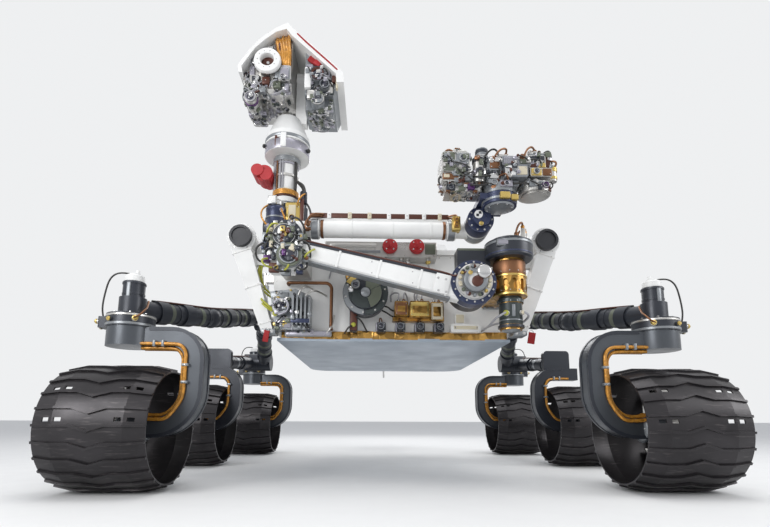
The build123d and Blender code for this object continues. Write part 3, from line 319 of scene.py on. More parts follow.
def make_finishes(tones):
    """Makes each finish once and keeps it by its name."""
    FINISHES.update({
        "white": painted("white paint", tones.white, rough=0.42, worn=(0.45, 0.45, 0.45), wear=0.3),
        "cream": painted("cream paint", tones.cream, rough=0.45, worn=(0.30, 0.28, 0.22), wear=0.4),
        # The wheel's slanted lighter streaks are partly scratches and partly painted highlights
        "wheel": painted("wheel black", tones.wheel, rough=0.36, metal=0.55, worn=(0.17, 0.15, 0.15),
                         width=0.0015, wear=0.45, blotch=0.35, scratches_and_highlights=0.35),
        "strut": painted("strut grey", tones.strut, rough=0.34, metal=0.5, worn=(0.45, 0.48, 0.52)),
        "housing": painted("dark housing", tones.housing, rough=0.36, metal=0.3, worn=(0.22, 0.23, 0.25)),
        "navy": painted("navy housing", tones.navy, rough=0.32, metal=0.35, worn=(0.3, 0.32, 0.42)),
        "teal": painted("teal housing", tones.teal, rough=0.30, metal=0.35, worn=(0.2, 0.3, 0.33)),
        "slate": painted("slate fitting", tones.slate, rough=0.34, metal=0.5, worn=(0.5, 0.52, 0.55)),
        "lavender": painted("lavender fitting", tones.lavender, rough=0.30, metal=0.6, worn=(0.6, 0.6, 0.66)),
        "metal": painted("bare metal", tones.metal, rough=0.34, metal=0.9, worn=(0.7, 0.7, 0.7), scale=250),
        "steel": painted("bright steel", tones.steel, rough=0.22, metal=1.0, worn=(0.8, 0.8, 0.8), scale=300),
        "pan": painted("pan grey", tones.pan, rough=0.40, metal=0.25, worn=(0.5, 0.55, 0.6), wear=0.3),
        "film": foil("gold film", tones.film, dimmed(tones.film, 0.35)),
        "amber": foil("amber sleeve", tones.amber, dimmed(tones.amber, 0.55), rough=0.25, scale=90,
                      bump=0.3, metal=0.25, depth=0.001),
        "brass": painted("yellow chromate", tones.brass, rough=0.30, metal=0.85, worn=(0.7, 0.62, 0.4)),
        "copper": painted("copper strap", tones.copper, rough=0.42, metal=0.85, worn=(0.75, 0.5, 0.38),
                          blotch=0.3),
        "olive": painted("olive fitting", tones.olive, rough=0.42, metal=0.3, worn=(0.32, 0.35, 0.30)),
        "cover": painted("red cover", tones.cover, rough=0.48, worn=(0.6, 0.2, 0.18), wear=0.2, blotch=0.3),
        "cap": painted("black cap", tones.cap, rough=0.42, worn=(0.08, 0.08, 0.09)),
        "glass": glass("lens glass", (0.010, 0.012, 0.030)),
        "sheath": painted("dark sheath", (0.020, 0.019, 0.018), rough=0.5, wear=0, scale=900, bump=0.4),
        "grey_sheath": painted("grey sheath", (0.33, 0.33, 0.35), rough=0.5, wear=0, scale=900, bump=0.4),
        "lime": painted("lime sheath", (0.42, 0.42, 0.05), rough=0.45, wear=0, scale=700, bump=0.3),
        "cloth": painted("red tag cloth", (0.33, 0.018, 0.020), rough=0.85, wear=0, scale=1500, bump=0.8),
        "maroon": painted("maroon fitting", (0.085, 0.025, 0.015), rough=0.4, metal=0.2, worn=(0.3, 0.15, 0.1)),
        "purple": painted("purple fitting", (0.085, 0.030, 0.120), rough=0.3, metal=0.5, worn=(0.4, 0.3, 0.5)),
    })


def give(node, material):
    """Puts a material on every slot of a CAD node."""
    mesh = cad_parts[node].data
    if not mesh.materials:
        mesh.materials.append(material)
    for number in range(len(mesh.materials)):
        mesh.materials[number] = material


CORNERS = ("front_left", "front_right", "middle_left", "middle_right", "rear_left", "rear_right")
NODE_FINISHES = {
    "white": ("chassis", "deck", "corner_posts", "mast_tube", "mast_collar", "head_roof",
              "upper_arm", "forearm", "radio_mast", "antenna_panel", "power_source",
              "nose_junction", "heat_plates"),
    "housing": ("mast_foot", "nose_cameras", "nose_drum", "rocker_left", "rocker_right",
                "bogie_left", "bogie_right", "shoulder_turntable"),
    "navy": ("wrist",),
    "metal": ("arm_saddle", "inlet_box", "side_pivots", "balance_bar",
              "antenna_stand", "power_frame", "lift_bosses", "head_telescope",
              "turret_drill", "turret_sampler", "antenna_yoke", "deck_fittings")
             + tuple(f"hub_{corner}" for corner in CORNERS),
    "slate": ("nose_bracket", "head_cameras", "turret_hub"),
    "pan": ("belly_pan",),
    "cover": ("mast_covers", "inlet_covers"),
    "cap": ("post_caps",),
    "film": ("shoulder_base", "nose_electronics"),
    "copper": ("nose_pipe",),
    "wheel": tuple(f"wheel_{corner}" for corner in CORNERS),
    "strut": tuple(f"strut_{corner}" for corner in CORNERS if not corner.startswith("middle")),
}


def at(x, y, z):
    """A place given in millimetres, as the part's source gives it."""
    return Vector((x, y, z)) * MM


def facing(place, look):
    """Stands a shape that was made about +Z on a place, with its +Z along look."""
    turn = Vector(look).normalized().to_track_quat("Z", "Y")
    return Matrix.Translation(place) @ turn.to_matrix().to_4x4()


def turns(count, offset=0):
    """Cosine and sine at even turns round a circle."""
    for number in range(count):
        turn = 2 * pi * (number + offset) / count
        yield cos(turn), sin(turn)


# Lines of sight that met no surface of their node
MISSED = []


def seat(node, x=0.0, y=0.0, z=0.0, look=(0, 1, 0), back=4000.0):
    """Where a line of sight in millimetres first meets a CAD node, and that face's normal."""
    look = Vector(look).normalized()
    start = at(x, y, z) - look * back * MM
    hit, place, normal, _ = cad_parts[node].ray_cast(start, look)
    if not hit:
        MISSED.append((node, round(x), round(y), round(z), tuple(round(part, 2) for part in look)))
        return at(x, y, z), -look
    return place, normal if normal.dot(look) < 0 else -normal


class Dressing:
    """Gathers the shapes of one piece and the finishes that they wear."""

    def __init__(self, name, body="root"):
        self.name, self.body = name, body
        self.shape = bmesh.new()
        self.worn = []

    def take(self, part, finish, place=None):
        """Adds a closed shape, in its place, to the piece."""
        bmesh.ops.remove_doubles(part, verts=part.verts, dist=1e-6)
        bmesh.ops.recalc_face_normals(part, faces=part.faces)
        if place is not None:
            bmesh.ops.transform(part, matrix=place, verts=part.verts)
        if finish not in self.worn:
            self.worn.append(finish)
        for face in part.faces:
            face.material_index = self.worn.index(finish)
        mesh = bpy.data.meshes.new("shape")
        part.to_mesh(mesh)
        self.shape.from_mesh(mesh)
        bpy.data.meshes.remove(mesh)
        part.free()

    def turned(self, profile, place, look, finish, steps=24):
        """Spins (radius, height) pairs in millimetres about the line of sight."""
        part = bmesh.new()
        line = [part.verts.new((radius * MM, 0, height * MM)) for radius, height in profile]
        edges = [part.edges.new(pair) for pair in zip(line, line[1:])]
        bmesh.ops.spin(
            part, geom=line + edges, cent=(0, 0, 0), axis=(0, 0, 1), angle=2 * pi,
            steps=steps, use_merge=True, use_duplicate=False,
        )
        self.take(part, finish, facing(place, look))

    def block(self, low, high, finish, edge=3.0, round_steps=2, tilt=None):
        """A block between two corners, with rounded edges, turned by tilt about its middle."""
        low, high = at(*low), at(*high)
        size, middle = high - low, (low + high) / 2
        part = bmesh.new()
        bmesh.ops.create_cube(part, size=1, matrix=Matrix.Diagonal((*size, 1)))
        bmesh.ops.bevel(
            part, geom=part.edges[:], offset=min(edge * MM, min(size) * 0.45), affect="EDGES",
            segments=round_steps, profile=0.5, material=-1, clamp_overlap=True,
        )
        place = Matrix.Translation(middle)
        self.take(part, finish, place @ tilt if tilt is not None else place)

    def lidded(self, low, high, finish, lid, rim=6.0, rise=4.0, screws=True):
        """A housing whose nose side carries a raised lid held by four screws."""
        self.block(low, high, finish, edge=4)
        x0, y0, z0 = low
        x1, _, z1 = high
        self.block((x0 + rim, y0 - rise, z0 + rim), (x1 - rim, y0 + 2, z1 - rim), lid, edge=2)
        if screws and min(x1 - x0, z1 - z0) > 4 * rim:
            for x in (x0 + 2 * rim, x1 - 2 * rim):
                for z in (z0 + 2 * rim, z1 - 2 * rim):
                    self.screw(at(x, y0 - rise, z), NOSEWARD, "steel")

    def hexagon(self, place, look, finish="steel", radius=5.0):
        """A washer and a hexagon head."""
        self.turned([(0, 0.3), (radius * 1.5, 0.3), (radius * 1.5, -1), (0, -1)], place, look, finish, 10)
        rise = radius * 0.9
        self.turned(
            [(0, rise), (radius * 0.82, rise), (radius, rise * 0.8), (radius, 0), (0, 0)],
            place, look, finish, 6,
        )

    def screw(self, place, look, finish="steel", radius=3.5):
        """A low round head with a socket."""
        self.turned(
            [(0, 0.6), (radius * 0.4, 0.6), (radius * 0.45, 1.8), (radius * 0.8, 1.8), (radius, 0.9),
             (radius, -1), (0, -1)],
            place, look, finish, 8,
        )

    def screws(self, places, look=NOSEWARD, finish="steel", radius=3.0):
        """Screws at several places in millimetres."""
        for place in places:
            self.screw(at(*place), look, finish, radius)

    def blocks(self, rows, edge, screw=None):
        """Blocks from rows of low corner, high corner and finish, each with a screw on its nose face if asked."""
        for low, high, finish in rows:
            self.block(low, high, finish, edge)
            if screw:
                self.screw(at((low[0] + high[0]) / 2, low[1], (low[2] + high[2]) / 2), NOSEWARD, screw, 3)

    def bolt_circle(self, centre, look, radius, count, finish="steel", size=4.0, start=0.0):
        """Hexagon heads round a centre."""
        turn = facing(at(*centre), look)
        for number in range(count):
            angle = start + 2 * pi * number / count
            spot = turn @ Vector((radius * MM * cos(angle), radius * MM * sin(angle), 0))
            self.hexagon(spot, look, finish, size)

    def connector(self, place, look, finish="metal", collar="brass", radius=9.0, reach=20.0):
        """A round cable connector with a knurled collar."""
        self.turned(
            [(0, -3), (radius * 1.2, -3), (radius * 1.2, 2), (radius, 2.5), (radius, reach * 0.45),
             (0, reach * 0.45)],
            place, look, finish, 14,
        )
        self.turned(
            [(0, reach * 0.4), (radius * 1.12, reach * 0.4), (radius * 1.18, reach * 0.5),
             (radius * 1.18, reach * 0.7), (radius * 0.9, reach * 0.8), (radius * 0.6, reach), (0, reach)],
            place, look, collar, 14,
        )

    def lens(self, place, look, radius, finish="housing", rim="steel", reach=8.0):
        """A lens barrel: rim, stepped throat and sunk glass."""
        self.turned(
            [(radius, -2), (radius, reach), (radius * 0.94, reach + 1), (radius * 0.84, reach + 1),
             (radius * 0.80, reach - 2), (radius * 0.66, reach - 3), (radius * 0.66, 1), (0, 1), (0, -2),
             (radius, -2)],
            place, look, finish, 24,
        )
        self.turned(
            [(radius * 0.96, reach - 1), (radius * 1.04, reach - 1), (radius * 1.04, reach + 1.6),
             (radius * 0.92, reach + 1.6), (radius * 0.92, reach - 1), (radius * 0.96, reach - 1)],
            place, look, rim, 24,
        )
        self.turned(
            [(0, radius * 0.22 + 2), (radius * 0.3, radius * 0.19 + 2), (radius * 0.55, radius * 0.09 + 2),
             (radius * 0.65, 2), (radius * 0.65, 0), (0, 0)],
            place, look, "glass", 20,
        )

    def hoop(self, centre, look, radius, width, thickness, finish, steps=28):
        """A flat band round a tube."""
        half, outer = width / 2, radius + thickness
        self.turned(
            [(radius, -half), (outer - 1, -half), (outer, -half + 1), (outer, half - 1), (outer - 1, half),
             (radius, half), (radius, -half)],
            at(*centre), look, finish, steps,
        )

    def ribbon(self, section, runs, finish):
        """Carries a closed section of places along straight runs and bends."""
        part = bmesh.new()
        loop = [part.verts.new(place) for place in section]
        first = part.faces.new(loop)
        edges = list(first.edges)
        for kind, *how in runs:
            if kind == "go":
                made = bmesh.ops.extrude_edge_only(part, edges=edges)["geom"]
                verts = [item for item in made if isinstance(item, bmesh.types.BMVert)]
                edges = [
                    item for item in made
                    if isinstance(item, bmesh.types.BMEdge) and all(end in verts for end in item.verts)
                ]
                bmesh.ops.translate(part, verts=verts, vec=how[0])
            else:
                centre, axis, angle, steps = how
                verts = list({end for edge in edges for end in edge.verts})
                last = bmesh.ops.spin(
                    part, geom=verts + edges, cent=centre, axis=axis, angle=angle, steps=steps,
                    use_merge=False, use_duplicate=False,
                )["geom_last"]
                edges = [item for item in last if isinstance(item, bmesh.types.BMEdge)]
        bmesh.ops.contextual_create(part, geom=edges)
        self.take(part, finish)

    def crowd(self, node, low, high, look, count, finishes, seed, size=(8, 20), rise=(4, 13)):
        """Small housings, knobs, plugs and lenses over a CAD node's face, seated by lines of sight."""
        pick = Random(seed)
        away = Vector(look).normalized()
        seats = []
        for _ in range(count):
            spot = [pick.uniform(a, b) for a, b in zip(low, high)]
            finish, kind = pick.choice(finishes), pick.random()
            width, depth, tall = pick.uniform(*size) / 2, pick.uniform(*size) / 2, pick.uniform(*rise)
            hit, place, normal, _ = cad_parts[node].ray_cast(at(*spot) - away * 4, away)
            if not hit or normal.dot(away) > -0.6:
                continue
            seats.append((place, normal))
            if kind < 0.45:
                turn = facing(place, normal)
                part = bmesh.new()
                bmesh.ops.create_cube(
                    part, size=1, matrix=Matrix.Diagonal((2 * width * MM, 2 * depth * MM, (tall + 4) * MM, 1))
                )
                bmesh.ops.bevel(
                    part, geom=part.edges[:], offset=1.6 * MM, affect="EDGES", segments=2, profile=0.5,
                    material=-1, clamp_overlap=True,
                )
                self.take(part, finish, turn @ Matrix.Translation((0, 0, (tall / 2 - 2) * MM)))
                self.screw(turn @ Vector((width * 0.4 * MM, 0, tall * MM)), normal, "steel", 2.2)
            elif kind < 0.75:
                self.turned(
                    [(0, tall), (width * 0.55, tall), (width * 0.7, tall - 1), (width * 0.7, tall * 0.5),
                     (width, tall * 0.45), (width, -2), (0, -2)],
                    place, normal, finish, 14,
                )
            elif kind < 0.92:
                self.connector(place, normal, "metal", finish, width * 0.7, tall * 1.3)
            else:
                self.lens(place, normal, width * 0.9, finish, "steel", tall * 0.7)
        return seats

    def done(self, smooth=38):
        """Makes the piece, with its creases kept sharp, and fixes it to its body."""
        mesh = bpy.data.meshes.new(self.name)
        self.shape.to_mesh(mesh)
        self.shape.free()
        mesh.shade_smooth()
        mesh.set_sharp_from_angle(angle=radians(smooth))
        for finish in self.worn:
            mesh.materials.append(FINISHES[finish])
        piece = bpy.data.objects.new(self.name, mesh)
        bpy.context.scene.collection.objects.link(piece)
        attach(piece, self.body)
        return piece


def cable(name, routes, radius, finish, body="root"):
    """Cables held at both ends: smooth curves through their route's points in millimetres."""
    curve = bpy.data.curves.new(name, "CURVE")
    curve.dimensions = "3D"
    curve.resolution_u = 5
    curve.bevel_depth = radius
    curve.bevel_resolution = 2
    curve.use_fill_caps = True
    for route in routes:
        spline = curve.splines.new("NURBS")
        spline.points.add(len(route) - 1)
        for point, place in zip(spline.points, route):
            point.co = (*at(*place), 1)
        spline.use_endpoint_u = True
        spline.order_u = 3
    curve.materials.append(FINISHES[finish])
    piece = bpy.data.objects.new(name, curve)
    bpy.context.scene.collection.objects.link(piece)
    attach(piece, body)
    return piece


def looped(seats, reach, every=7):
    """Routes of short leads that arch from one seat to a near one."""
    routes = []
    for number in range(0, len(seats) - 1, every):
        start, out = seats[number]
        others = [pair for pair in seats if 0.012 < (pair[0] - start).length < 0.075]
        if others:
            end, aim = others[number % len(others)]
            rise = (out + aim).normalized() * reach * MM
            routes.append([
                tuple(place / MM) for place in
                (start, start + rise * 0.8, start.lerp(end, 0.5) + rise * 1.3, end + rise * 0.8, end)
            ])
    return routes


def along(route, gap, start=0.5):
    """Places and directions at even steps along a route of straight runs."""
    wanted, gone, found = gap * start, 0.0, []
    for here, there in zip(route, route[1:]):
        run = Vector(there) - Vector(here)
        while wanted <= gone + run.length:
            share = (wanted - gone) / run.length
            found.append((Vector(here) + run * share, run.normalized()))
            wanted += gap
        gone += run.length
    return found


# Wheel axle places in millimetres: corner, side, track half, axle place, steered
AXLES = [
    ("front_left", -1, 1114, -1251, True),
    ("front_right", 1, 1114, -1251, True),
    ("middle_left", -1, 1219, -189, False),
    ("middle_right", 1, 1219, -189, False),
    ("rear_left", -1, 1114, 809, True),
    ("rear_right", 1, 1114, 809, True),
]
AXLE_HEIGHT = 250
# Bolts of a wheel's inner ring, their radius, and the ring's and hub cap's faces outboard of the axle place
RING_BOLTS, RING_RADIUS, RING_BACK, RING_FRONT, CAP_FACE = 24, 222, 62, 70, 82


class ROVER_OT_wheels(bpy.types.Operator):
    """Ring bolts, spoke clamps and hub caps of the six wheels."""

    bl_idname = "rover.wheels"
    bl_label = "Wheel Fasteners"

    def execute(self, context):
        for corner, side, track, axle, _ in AXLES:
            out = Vector((side, 0, 0))
            wheel = Dressing(f"wheel_bolts_{corner}", f"wheel_{corner}_body")
            centre = at(side * track, axle, AXLE_HEIGHT)
            for c, s in turns(RING_BOLTS, 0.5):
                reach = Vector((0, c, s)) * RING_RADIUS * MM
                wheel.hexagon(centre + reach + out * RING_BACK * MM, -out, "steel", 4)
                wheel.hexagon(centre + reach + out * RING_FRONT * MM, out, "steel", 4)
            cap = centre + out * CAP_FACE * MM
            wheel.turned(
                [(0, 12), (14, 12), (20, 8), (38, 6), (43, 2), (43, -2), (0, -2)], cap, out, "metal", 30
            )
            for c, s in turns(8):
                wheel.hexagon(cap + Vector((0, c, s)) * 31 * MM + out * 6.5 * MM, out, "steel", 3.4)
            wheel.turned(
                [(36, 0), (60, 0), (60, 3), (56, 5), (40, 5), (36, 3), (36, 0)], centre + out * MM, -out, "slate", 30
            )
            wheel.done()
        return {"FINISHED"}


# Bands of the struts: half sizes of the section, radii of the two bends, and where the edge strips start and end
STRUT_HALF_WIDTH, STRUT_HALF_DEPTH, STRUT_TOP_BEND, STRUT_LOW_BEND = 38, 39, 95, 150
STRIP_START, STRIP_END = 96, 98
# Reach inboard and height of the band's middle line
STEERED_STRUT = (284, 366)
FIXED_STRUT = (245, 326)


class ROVER_OT_struts(bpy.types.Operator):
    """Sleeved cables, edge strips, clamps and drive caps of the C-shaped struts."""

    bl_idname = "rover.struts"
    bl_label = "Strut Cables and Edges"

    def execute(self, context):
        radius = context.scene.rover_sizes.strut_cable
        for corner, side, track, axle, steered in AXLES:
            body = f"steer_{corner}" if steered else "root"
            reach, height = STEERED_STRUT if steered else FIXED_STRUT

            def spot(inboard, up, fore):
                return (side * (track - inboard), axle + fore, AXLE_HEIGHT + up)

            face = STRUT_HALF_DEPTH + radius / MM
            lanes = [(30, -face), (30, face)]
            if steered:
                lanes += [(STRUT_HALF_WIDTH + radius / MM + 0.5, fore) for fore in (-29, -12, 5)]
            routes = []
            for inset, fore in lanes:
                top, wall = height - inset, reach - inset
                routes.append([
                    spot(66, top, fore), spot(110, top, fore), spot(wall - 60, top, fore),
                    spot(wall - 22, top - 4, fore), spot(wall, top - 34, fore), spot(wall, top - 70, fore),
                    spot(wall, 190, fore), spot(wall - 2, 120, fore), spot(wall - 28, 76, fore),
                    spot(wall - 62, inset + 4, fore), spot(wall - 100, inset + 2, fore),
                    spot(100, inset + 4, fore), spot(82, inset + 14, fore * 0.9), spot(62, 54, fore * 0.6),
                ])
            cable(f"strut_cable_{corner}", routes, radius, "amber", body)
            hold = Dressing(f"strut_fittings_{corner}", body)
            clamp_face = axle - face - radius / MM - 2
            for up in (250, 180):
                x, _, z = spot(reach - 29, up, 0)
                for fore in (-1, 1):
                    near, far = sorted((axle + fore * (STRUT_HALF_DEPTH - 4), axle + fore * (face + radius / MM + 2)))
                    hold.block((x - 14, near, z - 6), (x + 14, far, z + 6), "slate", 4)
                hold.screw(at(x, clamp_face, z), NOSEWARD)
            for inboard in (125, 160):
                x, _, z = spot(inboard, height - 29, 0)
                hold.block((x - 6, clamp_face, z - 14), (x + 6, axle - STRUT_HALF_DEPTH + 4, z + 14), "slate", 4)
            outer = height + STRUT_HALF_WIDTH
            for fore, grow in ((-STRUT_HALF_DEPTH, -3), (STRUT_HALF_DEPTH, 3)):
                low, high = sorted((fore - grow * 4, fore + grow))
                section = [at(*spot(STRIP_START, outer + rise, edge))
                           for rise, edge in ((3, low), (3, high), (-12, high), (-12, low))]
                hold.ribbon(section, [
                    ("go", at(-side * (reach - STRUT_TOP_BEND - STRIP_START), 0, 0)),
                    ("turn", at(*spot(reach - STRUT_TOP_BEND, height - STRUT_TOP_BEND, 0)), (0, -side, 0), pi / 2, 8),
                    ("go", at(0, 0, -(height - STRUT_TOP_BEND - STRUT_LOW_BEND))),
                    ("turn", at(*spot(reach - STRUT_LOW_BEND, STRUT_LOW_BEND, 0)), (0, -side, 0), pi / 2, 10),
                    ("go", at(side * (reach - STRUT_LOW_BEND - STRIP_END), 0, 0)),
                ], "housing")
            drum = at(*spot(97, 0, 0))
            inward = Vector((-side, 0, 0))
            hold.turned(
                [(0, 16), (22, 16), (30, 12), (50, 9), (55, 4), (55, -2), (0, -2)], drum, inward, "slate", 30
            )
            for c, s in turns(6):
                hold.hexagon(drum + Vector((0, c, s)) * 42 * MM + inward * 10 * MM, inward, "steel", 4)
            hold.connector(at(*spot(58, 57, -20)), UPWARD, "metal", "brass", 9, 22)
            hold.connector(at(*spot(58, 54, 8)), UPWARD, "metal", "brass", 9, 22)
            hold.done()
        return {"FINISHED"}


class ROVER_OT_steering(bpy.types.Operator):
    """White caps, cable loops, connectors and bolts of the four steering actuators."""

    bl_idname = "rover.steering"
    bl_label = "Steering Actuator Fittings"

    def execute(self, context):
        lead = context.scene.rover_sizes.lead
        loops, stripes = [], []
        for corner, side, track, axle, steered in AXLES:
            if not steered:
                continue
            x = side * track
            kit = Dressing(f"steering_fittings_{corner}")
            kit.turned(
                [(0, 34), (20, 34), (24, 31), (24, 27), (34, 25), (38, 20), (38, -4), (34, -4), (34, 0), (0, 0)],
                at(x, axle, 858), UPWARD, "white", 32,
            )
            kit.turned([(0, 14), (7, 14), (8, 11), (8, -2), (0, -2)], at(x - side * 14, axle - 8, 890), UPWARD,
                       "white", 14)
            for z, grow in ((722, 4), (748, 2), (800, 1.5), (846, 3)):
                kit.hoop((x, axle, z), UPWARD, 43, 9, grow, "slate" if grow > 3 else "housing", 32)
            for c, s in turns(8, 0.5):
                kit.hexagon(at(x + 80 * c, axle + 80 * s, 709.3), UPWARD, "steel", 5)
            kit.hoop((x, axle, 664), UPWARD, 93, 10, 2.5, "slate", 48)
            kit.hoop((x, axle, 700), UPWARD, 93, 8, 2.0, "metal", 48)
            end = side * 122
            for shift in (-14, 14):
                kit.connector(at(x + end, axle + shift, 683), (side, 0, 0), "metal", "brass", 9, 20)
            kit.turned([(0, 6), (10, 6), (13, 3), (13, -3), (0, -3)], at(x + end, axle, 664), (side, 0, 0),
                       "cream", 18)
            kit.connector(at(x - side * 52, axle - 76, 684), (-side * 0.55, -0.8, 0), "metal", "brass", 10, 18)
            kit.connector(at(x + side * 40, axle - 84, 680), (side * 0.4, -0.9, 0), "housing", "brass", 8, 16)
            kit.block((x - 8, axle - 48, 742), (x + 8, axle - 40, 844), "slate", 3)
            kit.done()
            loops.append([
                (x + side * 8, axle - 6, 888), (x + side * 34, axle - 8, 894), (x + side * 74, axle - 10, 892),
                (x + side * 100, axle - 12, 866), (x + side * 112, axle - 12, 810),
                (x + side * 120, axle - 10, 750), (x + side * 116, axle - 8, 712), (x + side * 112, axle - 6, 698),
            ])
            stripes.append([
                (x - side * 56, axle - 92, 684), (x - side * 84, axle - 104, 690), (x - side * 90, axle - 80, 716),
                (x - side * 84, axle - 44, 736), (x - side * 70, axle - 10, 770),
            ])
        cable("steering_loops", loops, lead * 1.2, "sheath")
        cable("steering_leads", stripes, lead * 1.3, "copper")
        return {"FINISHED"}


# Middle lines of the suspension tubes on the right, in millimetres
ROCKER_RUNS = [[(1114, -1251, 733), (938, -821, 795), (800, -249, 925)], [(800, -249, 925), (905, 281, 700)]]
BOGIE_RUNS = [[(1001, 281, 700), (1010, 531, 750), (1114, 809, 733)], [(1001, 281, 700), (1093, -189, 638)]]


class ROVER_OT_suspension(bpy.types.Operator):
    """Cable runs, clamps, bands and bolts of the rockers and bogies."""

    bl_idname = "rover.suspension"
    bl_label = "Suspension Cables and Clamps"

    def execute(self, context):
        radius = context.scene.rover_sizes.tube_cable
        tubes = [("rocker", runs, 45) for runs in ROCKER_RUNS] + [("bogie", runs, 40) for runs in BOGIE_RUNS]
        for side, label in ((-1, "left"), (1, "right")):
            kit = Dressing(f"suspension_fittings_{label}")
            dark, pale = [], []
            for kind, runs, tube in tubes:
                route = [(side * x, y, z) for x, y, z in runs]
                start, end = Vector(route[0]), Vector(route[-1])
                whole = [start.lerp(Vector(route[1]), 0.22)] if len(route) > 2 else [start.lerp(end, 0.2)]
                whole += [Vector(place) for place in route[1:-1]]
                whole += [Vector(route[-2]).lerp(end, 0.80)]
                middle = [whole[0]]
                for here, there in zip(whole, whole[1:]):
                    middle += [here.lerp(there, share) for share in (0.33, 0.66, 1.0)]
                for turn, gap, strands in ((-0.5, 1.5, dark), (-0.1, 1.5, dark), (0.35, 3.5, pale)):
                    lift = tube + radius / MM + gap
                    strands.append([
                        (place.x - side * lift * sin(turn), place.y, place.z + lift * cos(turn) + (number % 2) * 1.5)
                        for number, place in enumerate(middle)
                    ])
                ends = [tuple(place) for place in whole]
                for place, run in along(ends, 96, 0.35):
                    kit.hoop(tuple(place), run, tube + 0.3, 14, 3.5, "housing", 28)
                    up = Vector((0, 0, 1)) - run * run.z
                    up.normalize()
                    kit.hexagon((place + up * (tube + 3.8)) * MM, up, "slate", 5)
                for place, run in along(ends, 96, 0.85):
                    kit.hoop(tuple(place), run, tube + 0.2, 22, 1.4, "olive" if kind == "rocker" else "slate", 28)
            cable(f"suspension_cables_{label}", dark, radius, "sheath")
            cable(f"suspension_leads_{label}", pale, radius * 0.8, "maroon")
            kit.done()
        return {"FINISHED"}


# Middles and half sizes of the raised hatches on the flanks, and the deck's lids
FLANK_HATCHES = ((-541.6, 879), (-26.4, 879))
HATCH_HALF = (216, 116)
DECK_LIDS = ((-420, -500, -70, -120), (60, -480, 420, -60), (60, 60, 260, 270), (-190, 60, -50, 300))
DECK_TOP = 1114
# Height of the flanks' foot, their lean, and the middle of the post drums' outer face
FLANK_FOOT, FLANK_LEAN = 668, 0.104
DRUM_X, DRUM_Z = 736, 1146


def lean_out(z):
    """How far a flank has leant out from its foot at a height, in millimetres."""
    return (z - FLANK_FOOT) * FLANK_LEAN


